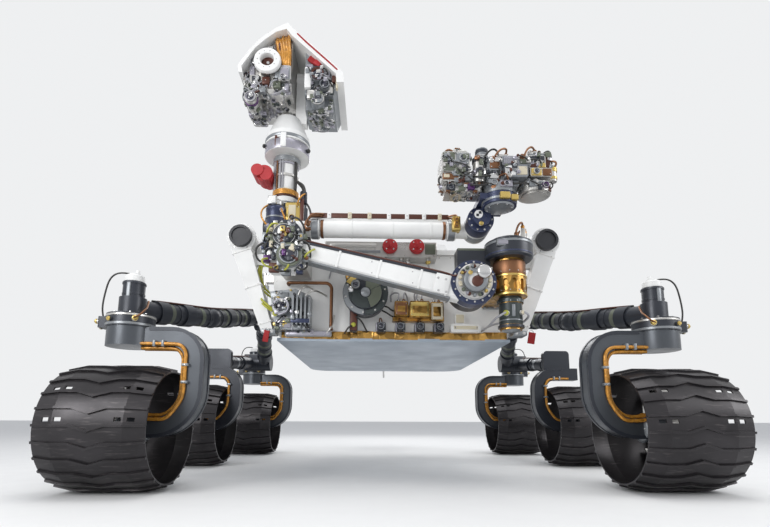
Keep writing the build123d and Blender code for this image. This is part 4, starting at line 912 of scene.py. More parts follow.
class ROVER_OT_body(bpy.types.Operator):
    """Belly film, panel screws, deck lids, hatch bolts and post fittings."""

    bl_idname = "rover.body"
    bl_label = "Body Panels and Posts"

    def execute(self, context):
        screw = context.scene.rover_sizes.panel_screw / MM
        film = Dressing("belly_film")
        for number in range(10):
            x = -540 + 108 * number
            tip = Matrix.Rotation(radians(((number * 37) % 7 - 3) * 0.35), 4, "Y")
            film.block((x, -986 - (number % 3), 662), (x + 114, -977, 698 + (number * 5) % 8), "film", 2, tilt=tip)
        film.done()

        panels = Dressing("body_screws")
        for x in range(-560, 561, 56):
            for look in (AFTWARD, NOSEWARD):
                panels.screw(*seat("chassis", x, z=1079, look=look), "metal", screw)
        for side in (-1, 1):
            for z in range(716, 1070, 58):
                for look in (AFTWARD, NOSEWARD):
                    panels.screw(*seat("chassis", side * (546 + lean_out(z)), z=z, look=look), "metal", screw)
            for middle_y, middle_z in FLANK_HATCHES:
                half_y, half_z = HATCH_HALF
                spots = [(middle_y + half_y * share / 3, middle_z + sign * half_z)
                         for share in range(-3, 4) for sign in (-1, 1)]
                spots += [(middle_y + sign * half_y, middle_z + half_z * share / 2)
                          for share in (-1, 0, 1) for sign in (-1, 1)]
                for y, z in spots:
                    panels.screw(*seat("chassis", 0, y, z, look=(-side, 0, 0)), "metal", screw + 1)
        rim = [(x, y, DECK_TOP) for x in range(-590, 591, 59) for y in (-975, 407)]
        rim += [(x, y, DECK_TOP) for y in range(-920, 400, 60) for x in (-602, 602)]
        panels.screws(rim, UPWARD, "metal", screw)
        panels.done()

        lids = Dressing("deck_lids")
        for x0, y0, x1, y1 in DECK_LIDS:
            lids.block((x0, y0, DECK_TOP - 1), (x1, y1, DECK_TOP + 3), "white", 1.5)
            for x in (x0 + 12, (x0 + x1) / 2, x1 - 12):
                for y in (y0 + 12, (y0 + y1) / 2, y1 - 12):
                    if (x, y) != ((x0 + x1) / 2, (y0 + y1) / 2):
                        lids.screw(at(x, y, DECK_TOP + 3), UPWARD, "metal", screw)
        lids.done()

        posts = Dressing("post_fittings")
        for side in (-1, 1):
            for y in (-1042, -866):
                posts.hoop((side * DRUM_X, y, DRUM_Z), NOSEWARD, 66, 12, 3, "white", 48)
            lean = Matrix.Rotation(side * radians(19), 4, "Y")
            for low in (1072, 900, 724):
                share = (low - 690) / 400
                x, half = side * (596 + 140 * share), (56 + 36 * share) / 2 + 2
                posts.block((x - half - 1, -1052, low), (x + half + 1, -976, low + 9), "white", 1.5, tilt=lean)
                for shift in (-half * 0.6, half * 0.6):
                    posts.screw(at(x + shift, -1052, low + 4 - side * shift * 0.34), NOSEWARD, "metal", screw)
            posts.block((side * 590 - 34, -1054, 676), (side * 590 + 34, -972, 700), "slate", 5)
            for shift in (-18, 18):
                posts.hexagon(at(side * 590 + shift, -1054, 688), NOSEWARD)
            rim = [(side * DRUM_X + 59 * c, -1049, DRUM_Z + 59 * s) for c, s in turns(6)]
            posts.screws(rim, radius=screw)
        posts.done()

        tags = Dressing("post_tags")
        hang = Matrix.Rotation(radians(9), 4, "Y") @ Matrix.Rotation(radians(6), 4, "X")
        for foot, width in ((-596, 26), (640, 34)):
            tags.block((foot - width / 2, -1062, 636), (foot + width / 2, -1057, 690), "cloth", 2, tilt=hang)
            tags.turned([(9, -2), (12, -2), (12, 2), (9, 2), (9, -2)], at(foot, -1058, 690), NOSEWARD, "steel", 16)
        tags.done()

        rails = []
        for side in (-1, 1):
            for z in (706, 724):
                x = side * (560 + lean_out(z) + 7)
                rails.append([(x, y, z) for y in (-930, -800, -400, 0, 300, 380)])
        cable("flank_pipes", rails, 6 * MM, "metal")
        clips = Dressing("flank_clips")
        for side in (-1, 1):
            x = side * (560 + lean_out(715))
            low, high = sorted((x - side * 2, x + side * 15))
            for y in range(-900, 381, 160):
                clips.block((low, y - 7, 694), (high, y + 7, 736), "slate", 3)
                clips.screw(at(x + side * 15, y, 715), (side, 0, 0), "steel", screw)
        clips.done()
        return {"FINISHED"}


# Axle place and height of the rockers' pivots; the balance bar lies over it
PIVOT_Y, PIVOT_Z = -249, 925


class ROVER_OT_pivots(bpy.types.Operator):
    """Bolt rings of the side pivots, bogie hubs and balance bar."""

    bl_idname = "rover.pivots"
    bl_label = "Pivot Bolts and Covers"

    def execute(self, context):
        kit = Dressing("pivot_fittings")
        for side in (-1, 1):
            out = (side, 0, 0)
            face, hub, bar = side * 850, (side * 1049, 281, 700), side * 800
            kit.turned([(0, 12), (26, 12), (34, 7), (54, 6), (58, 2), (58, -2), (0, -2)], at(face, PIVOT_Y, PIVOT_Z),
                       out, "slate", 36)
            kit.bolt_circle((face, PIVOT_Y, PIVOT_Z), out, 70, 10, size=5)
            kit.bolt_circle((face + side * 6.5, PIVOT_Y, PIVOT_Z), out, 44, 6, size=3.5)
            kit.turned([(0, 9), (22, 9), (30, 5), (44, 4), (44, -2), (0, -2)], at(*hub), out, "slate", 30)
            kit.bolt_circle(hub, out, 52, 8, size=4)
            kit.hoop((bar, PIVOT_Y, PIVOT_Z), out, 82, 16, 2.5, "metal", 48)
            kit.turned([(0, 14), (14, 14), (20, 10), (26, 9), (26, -2), (0, -2)], at(bar, PIVOT_Y, 1206), UPWARD,
                       "steel", 24)
            kit.hoop((bar, PIVOT_Y, 1120), UPWARD, 18, 30, 6, "slate", 24)
            kit.hoop((bar, PIVOT_Y, 1030), UPWARD, 18, 22, 5, "metal", 24)
        kit.turned([(0, 16), (20, 16), (30, 10), (46, 8), (46, -2), (0, -2)], at(0, PIVOT_Y, 1198), UPWARD,
                   "steel", 32)
        kit.bolt_circle((0, PIVOT_Y, 1206), UPWARD, 38, 6, size=3.5)
        for x in range(-700, 701, 200):
            kit.hexagon(at(x, PIVOT_Y, 1198), UPWARD, "steel", 5)
        kit.done()
        return {"FINISHED"}


class ROVER_OT_nose(bpy.types.Operator):
    """Lenses, lids, connectors, cables and drum face across the nose."""

    bl_idname = "rover.nose"
    bl_label = "Nose Instruments"

    def execute(self, context):
        lead = context.scene.rover_sizes.lead
        kit = Dressing("nose_lenses")
        leads = []
        for number in range(4):
            x = -66 + 92 * number
            kit.lens(at(x, -1065, 714), NOSEWARD, 15, "housing", "slate", 5)
            kit.block((x - 22, -1037, 694), (x - 17, -1034, 736), "lavender", 1)
            kit.screws([(x + 18, -1035, z) for z in (698, 731)], radius=2.5)
            leads.append([(x + 6, -1018, 734), (x + 6, -1024, 744), (x + 3, -1030, 752), (x, -1026, 760)])
            leads.append([(x - 6, -1010, 734), (x - 7, -1018, 746), (x - 6, -1024, 754), (x - 4, -1018, 761)])
        kit.done()
        cable("nose_camera_leads", leads, lead, "copper")

        boxes = Dressing("nose_boxes")
        for x0, x1, z0, z1, reach, lid in (
            (-2, 63, 766, 838, 70, "copper"), (68, 164, 757, 836, 84, "brass"), (168, 232, 746, 837, 62, "cream"),
        ):
            front = -979 - reach
            boxes.block((x0 + 5, front - 4, z0 + 6), (x1 - 5, front + 2, z1 - 6), lid, 2)
            boxes.block((x0 + 14, front - 7, z0 + 20), (x1 - 14, front - 2, z1 - 24), "film", 2)
            boxes.screws([(x, front - 4, z) for x in (x0 + 10, x1 - 10) for z in (z0 + 12, z1 - 12)], radius=2.5)
            for shift, collar in ((-12, "steel"), (12, "copper")):
                boxes.connector(at((x0 + x1) / 2 + shift, front + 24, z1), UPWARD, "metal", collar, 7, 16)
        boxes.lidded((276, -1024, 703), (404, -1018, 732), "white", "cream", 6, 3)
        boxes.block((296, -1012, 744), (334, -1006, 784), "cream", 3)
        boxes.done()
        routes = []
        for number, (x, end) in enumerate(((18, -20), (42, 60), (104, 96), (128, 190), (188, 250), (212, 300))):
            front = (-1025, -1039, -1017)[number // 2]
            routes.append([
                (x, front, 848), (x, front - 2, 866), (x + 4, front + 4, 884), ((x + end) / 2, -1000, 892),
                (end, -990, 880), (end + 4, -985, 862), (end + 4, -981, 850),
            ])
        cable("nose_box_cables", routes, lead * 1.2, "grey_sheath")

        drum = Dressing("nose_drum_face")
        middle = Vector((-139, 0, 866))
        # Arcs on the face: radii, front and back, where they begin and how far they sweep in degrees
        for inner, outer, front, back, begin, sweep, finish, steps in (
            (26, 75, -1100, -1094, 165, 120, "teal", 16), (26, 75, -1099, -1094, -70, 95, "olive", 14),
            (26, 75, -1098, -1094, 28, 60, "olive", 10), (80, 104, -1087, -1080, 30, 120, "brass", 16),
            (80, 104, -1085, -1080, 155, 110, "slate", 16), (80, 104, -1085, -1080, -90, 115, "teal", 16),
        ):
            turn = Vector((cos(radians(begin)), 0, sin(radians(begin))))
            section = [at(*(middle + turn * reach + Vector((0, depth, 0))))
                       for reach, depth in ((inner, front), (outer, front), (outer, back), (inner, back))]
            drum.ribbon(section, [("turn", at(*middle), NOSEWARD, radians(sweep), steps)], finish)
        drum.turned([(0, 12), (10, 12), (16, 8), (22, 7), (22, -2), (0, -2)], at(-139, -1095, 866), NOSEWARD,
                    "slate", 24)
        drum.turned([(0, 15), (9, 12), (15, 5), (17, 0), (17, -3), (0, -3)], at(-206, -1097, 880), NOSEWARD,
                    "steel", 22)
        drum.bolt_circle((-139, -1086, 866), NOSEWARD, 92, 10, finish="metal", size=3, start=0.2)
        drum.lens(at(-185, -1107, 900), NOSEWARD, 20, "slate", "steel", 6)
        drum.block((-233, -1067, 938), (-45, -1061, 970), "film", 3)
        drum.block((-150, -1074, 948), (-60, -1064, 964), "brass", 3)
        drum.screws([(x, -1067, 944) for x in (-222, -170, -120, -60)])
        drum.block((-210, -1056, 694), (-178, -1048, 790), "maroon", 4)
        drum.connector(at(-194, -1052, 720), NOSEWARD, "metal", "lime", 9, 16)
        drum.done()
        cable("nose_drum_cables", [
            [(-186, -1052, 760), (-168, -1068, 748), (-150, -1066, 726), (-140, -1030, 708), (-130, -984, 700)],
            [(-196, -1052, 716), (-206, -1076, 712), (-222, -1062, 700), (-232, -1020, 694), (-240, -984, 692)],
            [(-60, -1010, 800), (-40, -1018, 790), (-24, -1012, 778), (-6, -1000, 772)],
            [(-52, -1004, 824), (-34, -1014, 818), (-20, -1010, 806), (-4, -1002, 800)],
        ], lead * 1.3, "sheath")

        rib = Dressing("nose_bracket_fittings")
        rib.lens(at(-530, -1077, 800), NOSEWARD, 36, "slate", "lavender", 6)
        rib.block((-514, -1013, 675), (-306, -1007, 697), "lavender", 3)
        rib.block((-556, -1048, 706), (-486, -1042, 742), "lavender", 4)
        rib.block((-584, -1048, 846), (-500, -1042, 876), "slate", 4)
        rib.block((-482, -1086, 722), (-396, -1080, 742), "navy", 3)
        rib.screws([(x, -1043, z) for x, z in ((-570, 856), (-512, 856), (-476, 852), (-410, 852))])
        rib.screws([(x, -1013, 686) for x in (-500, -440, -380, -320)])
        for x, z, end in ((-572, 792, "lime"), (-560, 770, "lime"), (-548, 842, "brass")):
            rib.connector(*seat("nose_bracket", x, z=z), "metal", end, 10, 20)
        rib_mix = ("slate", "housing", "metal", "steel", "lavender", "brass", "olive", "slate")
        seats = rib.crowd("nose_bracket", (-610, 0, 690), (-390, 0, 890), (0, 1, 0), 80, rib_mix, 51, (9, 22), (4, 14))
        rib.done()
        cable("nose_bracket_leads", looped(seats, 15), lead, "sheath")
        cable("nose_lime_cables", [
            [(-650, -996, 1024), (-656, -1008, 1006), (-654, -1012, 980), (-648, -1010, 940), (-640, -1006, 905),
             (-618, -994, 880), (-596, -982, 868)],
            [(-642, -996, 1024), (-646, -1004, 1000), (-644, -1006, 970), (-636, -1004, 930), (-622, -996, 900),
             (-598, -982, 884)],
            [(-628, -1046, 842), (-622, -1060, 832), (-602, -1066, 816), (-584, -1064, 800), (-572, -1058, 790)],
            [(-622, -1046, 820), (-612, -1060, 810), (-598, -1066, 798), (-586, -1064, 790), (-574, -1058, 782)],
        ], lead * 1.8, "lime")
        cable("nose_bracket_pipes", [
            [(-420, -1070, 850), (-402, -1078, 872), (-372, -1050, 884), (-346, -1010, 880), (-330, -983, 876)],
            [(-452, -1066, 858), (-440, -1072, 890), (-420, -1050, 906), (-404, -1012, 908), (-396, -983, 906)],
            [(-330, -1004, 686), (-310, -1020, 700), (-296, -1014, 726), (-292, -1000, 760), (-290, -984, 780)],
        ], lead * 1.5, "metal")

        inlet = Dressing("inlet_fittings")
        for x in (-25, 103):
            inlet.hoop((x, -1076, 1098), NOSEWARD, 33, 10, 3, "cover", 32)
            inlet.block((x - 4, -1104, 1086), (x + 4, -1096, 1110), "cover", 3)
            inlet.bolt_circle((x, -1089, 1098), NOSEWARD, 24, 4, size=2.6, start=0.78)
        for x, collar in (
            (-300, "slate"), (-82, "steel"), (-52, "lavender"), (32, "slate"), (62, "steel"), (160, "brass"),
        ):
            inlet.connector(at(x, -1040, 1048), DOWNWARD, "metal", collar, 11, 26)
        for x in range(-322, 190, 46):
            if min(abs(x + 25), abs(x - 103)) > 38:
                inlet.screws([(x, -1069, z) for z in (1056, 1086)])
        inlet.block((-330, -1073, 1066), (-70, -1067, 1080), "slate", 2)
        inlet.block((-310, -1072, 1092), (-90, -1067, 1112), "metal", 2)
        inlet.block((142, -1072, 1062), (192, -1067, 1114), "olive", 3)
        inlet.done()
        cable("inlet_cables", [
            [(-82, -1040, 1024), (-82, -1036, 1008), (-74, -1016, 996), (-60, -990, 990), (-54, -980, 988)],
            [(-52, -1040, 1024), (-50, -1038, 1010), (-36, -1018, 1000), (-22, -992, 996), (-16, -980, 994)],
            [(32, -1040, 1024), (34, -1036, 1006), (46, -1014, 992), (62, -990, 984), (68, -980, 982)],
            [(62, -1040, 1024), (66, -1038, 1010), (82, -1016, 998), (100, -992, 992), (108, -980, 990)],
            [(160, -1040, 1024), (166, -1034, 1004), (184, -1012, 984), (204, -990, 970), (212, -980, 966)],
            [(-300, -1040, 1024), (-302, -1034, 1004), (-310, -1010, 984), (-316, -990, 972), (-318, -980, 966)],
        ], lead * 1.3, "grey_sheath")
        return {"FINISHED"}


# Middle of the mast and of its tilt axle
MAST = (-545, -979)
TILT_HEIGHT = 2030
# Heights along the harness up the mast and its reach from the middle there
HARNESS_LINE = ((1400, 60), (1425, 60), (1450, 61.5), (1480, 60.5), (1510, 61.5), (1540, 60.5), (1578, 60))


class ROVER_OT_mast(bpy.types.Operator):
    """Foot actuators, bands, harness and collar ring of the mast."""

    bl_idname = "rover.mast"
    bl_label = "Mast and Foot"

    def execute(self, context):
        lead = context.scene.rover_sizes.lead
        x, y = MAST
        foot = Dressing("mast_foot_fittings")
        foot.turned([(0, 0), (49.5, 0), (49.5, 4), (51, 6), (51, 14), (49.5, 16), (49.5, 96), (51, 98), (51, 108),
                     (47, 114), (33, 115), (33, 110), (0, 110)], at(-571, -1057, 1172), UPWARD, "navy", 40)
        foot.turned([(0, 30), (18, 30), (24, 26), (27, 18), (33.5, 16), (33.5, -2), (0, -2)],
                    at(-571, -1057, 1300), UPWARD, "steel", 28)
        foot.lidded((-604, -1112, 1288), (-562, -1076, 1330), "steel", "white", 5, 3, screws=False)
        foot.block((-528, -1073, 1142), (-456, -1065, 1314), "brass", 5)
        foot.block((-518, -1077, 1152), (-470, -1071, 1200), "film", 4)
        foot.block((-512, -1078, 1214), (-476, -1071, 1300), "cream", 5)
        foot.lens(at(-494, -1078, 1236), NOSEWARD, 13, "maroon", "brass", 3)
        foot.block((-456, -1082, 1150), (-438, -1064, 1330), "maroon", 4)
        foot.block((-446, -1070, 1312), (-426, -1046, 1372), "housing", 5)
        foot.turned([(0, 96), (12, 96), (15, 92), (15, 40), (19, 36), (19, 0), (0, 0)], at(-453, -1019, 1300),
                    UPWARD, "housing", 20)
        foot.screws([(sx, -1073, z) for z in (1164, 1180, 1290) for sx in (-520, -464)])
        foot.hoop((-571, -1057, 1230), UPWARD, 49.5, 8, 3, "slate", 40)
        foot.block((-548, -1112, 1176), (-526, -1098, 1206), "steel", 4)
        foot.connector(at(-596, -1098, 1180), (-0.4, -0.9, 0), "metal", "lavender", 9, 18)
        foot.connector(at(-540, -1096, 1262), (0.2, -1, 0), "metal", "lavender", 8, 16)
        for side in (-1, 1):
            foot.bolt_circle((x + side * 85.5, y, 1210), (side, 0, 0), 54, 8, size=4)
        for sx in (-66, 76):
            for sy in (-2, 82):
                foot.hexagon(at(x + sx, y + sy, 1140), UPWARD)
        foot.block((-616, -1096, 1120), (-520, -1000, 1136), "olive", 5)
        foot.block((-606, -1104, 1132), (-570, -1060, 1164), "cream", 5)
        foot.turned([(0, 22), (10, 22), (13, 18), (13, 0), (0, 0)], at(-548, -1084, 1136), UPWARD, "brass", 18)
        foot.turned([(0, 26), (14, 26), (16, 20), (16, 0), (0, 0)], at(-500, -1050, 1114), UPWARD, "slate", 18)
        foot.done()

        tube = Dressing("mast_bands")
        tube.hoop((x, y, 1388), UPWARD, 64, 26, 2.5, "amber", 40)
        tube.hoop((x, y, 1372), UPWARD, 55, 8, 7, "maroon", 40)
        tube.hoop((x, y, 1404), UPWARD, 55, 8, 7, "cream", 40)
        tube.hoop((x, y, 1350), UPWARD, 62, 26, 1.5, "white", 40)
        tube.hoop((x, y, 1566), UPWARD, 67, 26, 1.5, "slate", 40)
        tube.hoop((x, y, 1545), UPWARD, 55, 10, 6, "lavender", 40)
        tube.block((-500, -1024, 1404), (-490, -1008, 1556), "sheath", 3)
        tube.hoop((x, y, 1480), UPWARD, 55, 12, 8, "metal", 36)
        for turn in (0.5, 1.3, 2.2, 3.4, 4.4, 5.4):
            tube.screw(at(x + 67 * cos(turn), y + 67 * sin(turn), 1566), (cos(turn), sin(turn), 0), "steel", 3)
        tube.block((-606, -1010, 1440), (-580, -984, 1492), "maroon", 4)
        tube.done()
        for finish, angles in (("grey_sheath", (8, 20, 56, 68)), ("copper", (38,)), ("sheath", (80, -62))):
            strands = []
            for turn in angles:
                ax, ay = sin(radians(turn)), cos(radians(turn))
                strands.append([(x - ax * reach, y - ay * reach, z) for z, reach in HARNESS_LINE])
            cable(f"mast_harness_{finish}", strands, lead * 1.7, finish)
        cable("mast_foot_cables", [
            [(-452, -1019, 1392), (-452, -1026, 1408), (-468, -1036, 1424), (-488, -1030, 1446), (-498, -1016, 1470)],
            [(-436, -1060, 1366), (-438, -1066, 1390), (-452, -1056, 1416), (-476, -1040, 1436), (-494, -1022, 1452)],
            [(-430, -1060, 1316), (-412, -1070, 1290), (-404, -1066, 1250), (-412, -1040, 1200), (-424, -1010, 1150),
             (-430, -990, 1116)],
            [(-440, -1080, 1180), (-420, -1090, 1160), (-408, -1070, 1136), (-404, -1030, 1118), (-400, -1000, 1116)],
        ], lead * 1.8, "sheath")
        cable("mast_foot_leads", [
            [(-604, -1112, 1184), (-622, -1122, 1200), (-634, -1110, 1240), (-628, -1086, 1280), (-606, -1072, 1300)],
            [(-538, -1112, 1262), (-534, -1126, 1250), (-522, -1120, 1222), (-516, -1096, 1200), (-518, -1076, 1190)],
            [(-470, -1080, 1300), (-462, -1092, 1320), (-446, -1086, 1346), (-436, -1068, 1360)],
            [(-560, -1108, 1150), (-540, -1120, 1156), (-516, -1112, 1150), (-500, -1080, 1140), (-498, -1056, 1136)],
        ], lead * 1.4, "amber")

        collar = Dressing("mast_collar_ring", "mast_pan_body")
        collar.turned([(104, 0), (111, 0), (112, 3), (112, 46), (110, 50), (104, 50), (104, 0)], at(x, y, 1592),
                      UPWARD, "lavender", 56)
        collar.turned([(96, 0), (111, 0), (113, 4), (113, 14), (108, 20), (96, 20), (96, 0)], at(x, y, 1656),
                      UPWARD, "slate", 56)
        collar.block((-560, -1095, 1594), (-532, -1088, 1668), "white", 3)
        collar.block((-590, -1084, 1600), (-570, -1072, 1660), "maroon", 4)
        for c, s in turns(14, 0.25):
            collar.screw(at(x + 112 * c, y + 112 * s, 1616), (c, s, 0))
        collar.connector(at(x + 104, y - 40, 1612), (0.9, -0.4, 0), "housing", "sheath", 9, 18)
        collar.connector(at(x - 100, y - 48, 1630), (-0.9, -0.44, 0), "housing", "sheath", 9, 16)
        collar.hoop((x, y, 1774), UPWARD, 68, 8, 3, "white", 40)
        collar.bolt_circle((-448.6, y, TILT_HEIGHT), (1, 0, 0), 31, 6, size=3)
        collar.done()
        return {"FINISHED"}


class ROVER_OT_head(bpy.types.Operator):
    """Lenses, harness, boxes and small actuators under the roof of the mast head."""

    bl_idname = "rover.head"
    bl_label = "Mast Head"

    def execute(self, context):
        lead = context.scene.rover_sizes.lead
        body = "mast_head"
        pod = Dressing("head_telescope_fittings", body)
        pod.turned([(33, -22), (38, -22), (38, 4), (54, 4), (60, 1), (60, -8), (66, -10), (66, -2), (62, 6), (52, 9),
                    (36, 9), (33, 6), (33, -22)], at(-622, -1168, 1994), NOSEWARD, "white", 48)
        pod.turned([(0, 1), (20, 1), (33.5, 3), (33.5, -2), (0, -2)], at(-622, -1144, 1994), NOSEWARD, "maroon", 32)
        pod.turned([(0, 8), (7, 8), (9, 4), (9, 0), (0, 0)], at(-622, -1144, 1994), NOSEWARD, "steel", 16)
        pod.screws([(-622 + 45 * c, -1177, 1994 + 45 * s) for c, s in turns(10)], radius=2.6)
        # Blue-grey and silver mechanisms round the telescope
        pod.blocks((
            ((-716, -1132, 1936), (-690, -1116, 1992), "lavender"),
            ((-704, -1140, 2000), (-684, -1116, 2030), "steel"),
            ((-672, -1136, 2062), (-640, -1116, 2088), "slate"),
            ((-632, -1142, 2066), (-604, -1116, 2096), "steel"),
            ((-588, -1150, 1916), (-556, -1116, 1950), "slate"),
            ((-596, -1140, 1872), (-560, -1116, 1906), "olive"),
            ((-650, -1146, 1886), (-612, -1116, 1924), "maroon"),
            ((-664, -1140, 1846), (-632, -1116, 1880), "slate"),
            ((-556, -1152, 1956), (-528, -1116, 1984), "lavender"),
            ((-540, -1140, 1858), (-520, -1116, 1896), "lavender"),
            ((-700, -1136, 1892), (-676, -1116, 1926), "teal"),
        ), 4, "steel")
        for px, pz, size, finish in (
            (-726, 1934, 15, "housing"), (-700, 1876, 17, "olive"), (-722, 1842, 12, "lavender"),
            (-676, 1826, 13, "steel"), (-640, 1862, 14, "teal"), (-604, 1850, 12, "lavender"),
            (-580, 1880, 10, "steel"), (-546, 1918, 13, "housing"), (-650, 2070, 10, "steel"),
            (-608, 2096, 9, "slate"),
        ):
            pod.lens(*seat("head_telescope", px, z=pz), size, finish, "steel", 9)
        pod.hoop((-697, -1134, 1804), NOSEWARD, 30, 14, 3, "purple", 32)
        pod.lens(at(-697, -1159, 1804), NOSEWARD, 26, "lavender", "steel", 5)
        pod.block((-735, -1140, 1880), (-728, -1080, 1936), "metal", 2)
        pod.lidded((-566, -1153, 1908), (-514, -1148, 1976), "slate", "lavender", 6, 3)
        head_mix = ("slate", "steel", "lavender", "housing", "metal", "teal", "olive", "lavender", "steel")
        seats = pod.crowd("head_telescope", (-735, 0, 1810), (-520, 0, 1922), AFTWARD, 76, head_mix, 11, (10, 24),
                          (5, 16))
        under = pod.crowd("head_telescope", (-733, -1130, 0), (-520, -930, 0), UPWARD, 90, head_mix, 12, (12, 30),
                          (5, 13))
        under += pod.crowd("head_telescope", (0, -1130, 1815), (0, -930, 1935), (1, 0, 0), 30, head_mix, 13,
                           (12, 26), (4, 9))
        pod.done()
        cable("head_pod_leads", looped(seats, 15) + looped(under, 11), lead, "grey_sheath", body)
        cable("head_amber_harness", [
            [(-588 + 15 * number, -1122, 2150 + 6 * number - (number % 2) * 12),
             (-584 + 14 * number, -1140, 2120 + 4 * number),
             (-578 + 14 * number, -1150, 2080), (-566 + 12 * number, -1154, 2040),
             (-552 + 8 * number, -1148, 2000), (-540 + 4 * number, -1132, 1978), (-534 + 3 * number, -1118, 1966)]
            for number in range(5)
        ], lead * 3.2, "amber", body)
        cable("head_dark_leads", [
            [(-590, -1122, 2118), (-586, -1150, 2098), (-584, -1158, 2060), (-578, -1150, 2030), (-570, -1124, 2014)],
            [(-572, -1122, 2128), (-568, -1158, 2100), (-566, -1164, 2064), (-560, -1150, 2040), (-556, -1124, 2024)],
            [(-714, -1124, 1960), (-728, -1138, 1950), (-738, -1130, 1920), (-736, -1112, 1896), (-728, -1096, 1884)],
            [(-660, -1140, 1850), (-668, -1156, 1836), (-684, -1156, 1824), (-696, -1140, 1812)],
            [(-640, -1124, 1920), (-648, -1140, 1904), (-664, -1142, 1880), (-676, -1128, 1866)],
        ], lead * 1.3, "maroon", body)
        cable("head_silver_leads", [
            [(-700, -1120, 1990), (-712, -1138, 2004), (-706, -1144, 2026), (-690, -1138, 2040), (-676, -1118, 2050)],
            [(-612, -1140, 1870), (-604, -1156, 1880), (-590, -1156, 1896), (-576, -1146, 1908)],
            [(-690, -1138, 1900), (-678, -1152, 1896), (-664, -1152, 1884), (-654, -1140, 1872)],
            [(-536, -1124, 1870), (-544, -1142, 1856), (-560, -1144, 1846), (-576, -1124, 1846)],
            [(-560, -1128, 1852), (-574, -1142, 1842), (-594, -1136, 1834), (-606, -1122, 1846)],
        ], lead * 1.2, "grey_sheath", body)

        eyes = Dressing("head_camera_fittings", body)
        eyes.block((-444, -1153, 1866), (-412, -1128, 1976), "white", 5)
        eyes.block((-440, -1158, 1940), (-418, -1150, 1966), "slate", 3)
        patch = Matrix.Rotation(radians(38), 4, "Y")
        eyes.block((-434, -1142, 1998), (-352, -1128, 2034), "cloth", 5, tilt=patch)
        eyes.block((-402, -1150, 1990), (-366, -1138, 2016), "cover", 4, tilt=patch)
        eyes.block((-438, -1146, 1976), (-404, -1128, 1996), "lavender", 4)
        eyes.block((-402, -1148, 1958), (-366, -1128, 1982), "olive", 4)
        eyes.block((-352, -1146, 1930), (-322, -1128, 1962), "lavender", 4)
        eyes.block((-312, -1146, 1904), (-290, -1128, 1940), "maroon", 4)
        eyes.block((-430, -1150, 1812), (-392, -1128, 1856), "metal", 5)
        eyes.block((-330, -1146, 1846), (-306, -1128, 1900), "metal", 4)
        eyes.block((-292, -1152, 1866), (-282, -1128, 1946), "cream", 3)
        eyes.lens(at(-380, -1158, 1935), NOSEWARD, 33, "maroon", "housing", 8)
        eyes.lens(at(-345, -1155, 1880), NOSEWARD, 22, "housing", "slate", 8)
        eyes.lens(at(-379, -1140, 1814), NOSEWARD, 31, "slate", "metal", 5)
        for px, pz, size in ((-424, 1902, 9), (-404, 1880, 8), (-318, 1830, 11), (-352, 1830, 8), (-330, 1960, 7)):
            eyes.lens(*seat("head_cameras", px, z=pz), size, "olive", "steel", 7)
        for px, pz in ((-436, 1850), (-436, 1806), (-400, 1850), (-330, 1810), (-300, 1880), (-410, 1946)):
            eyes.screw(*seat("head_cameras", px, z=pz), "steel", 3)
        seats = eyes.crowd("head_cameras", (-430, 0, 1790), (-308, 0, 1965), AFTWARD, 46, head_mix, 21, (12, 26),
                           (5, 14))
        under = eyes.crowd("head_cameras", (-425, -1110, 0), (-310, -940, 0), UPWARD, 60, head_mix, 22, (12, 28),
                           (5, 12))
        eyes.done()
        cable("head_eye_leads", looped(seats, 14) + looped(under, 10), lead, "grey_sheath", body)
        cable("head_roof_trim", [
            [(-482, -1166, 2142), (-440, -1167, 2098), (-380, -1167, 2042), (-320, -1167, 1986), (-284, -1166, 1950)],
        ], lead * 1.7, "cloth", body)
        cable("head_camera_leads", [
            [(-430, -1148, 1980), (-420, -1160, 1962), (-414, -1162, 1940), (-412, -1150, 1916)],
            [(-360, -1146, 1976), (-344, -1158, 1966), (-334, -1156, 1950), (-330, -1144, 1940)],
            [(-340, -1140, 1900), (-326, -1156, 1894), (-310, -1152, 1884), (-304, -1138, 1872)],
            [(-396, -1146, 1856), (-386, -1160, 1866), (-372, -1160, 1870), (-362, -1150, 1874)],
        ], lead * 1.2, "sheath", body)

        roof = Dressing("head_roof_screws", body)
        for px in (-700, -640, -580, -520, -470, -420, -360, -300, -270):
            for sy in (-1150, -979, -808):
                roof.screw(*seat("head_roof", px, sy, look=DOWNWARD), "metal", 4)
        roof.done()
        return {"FINISHED"}


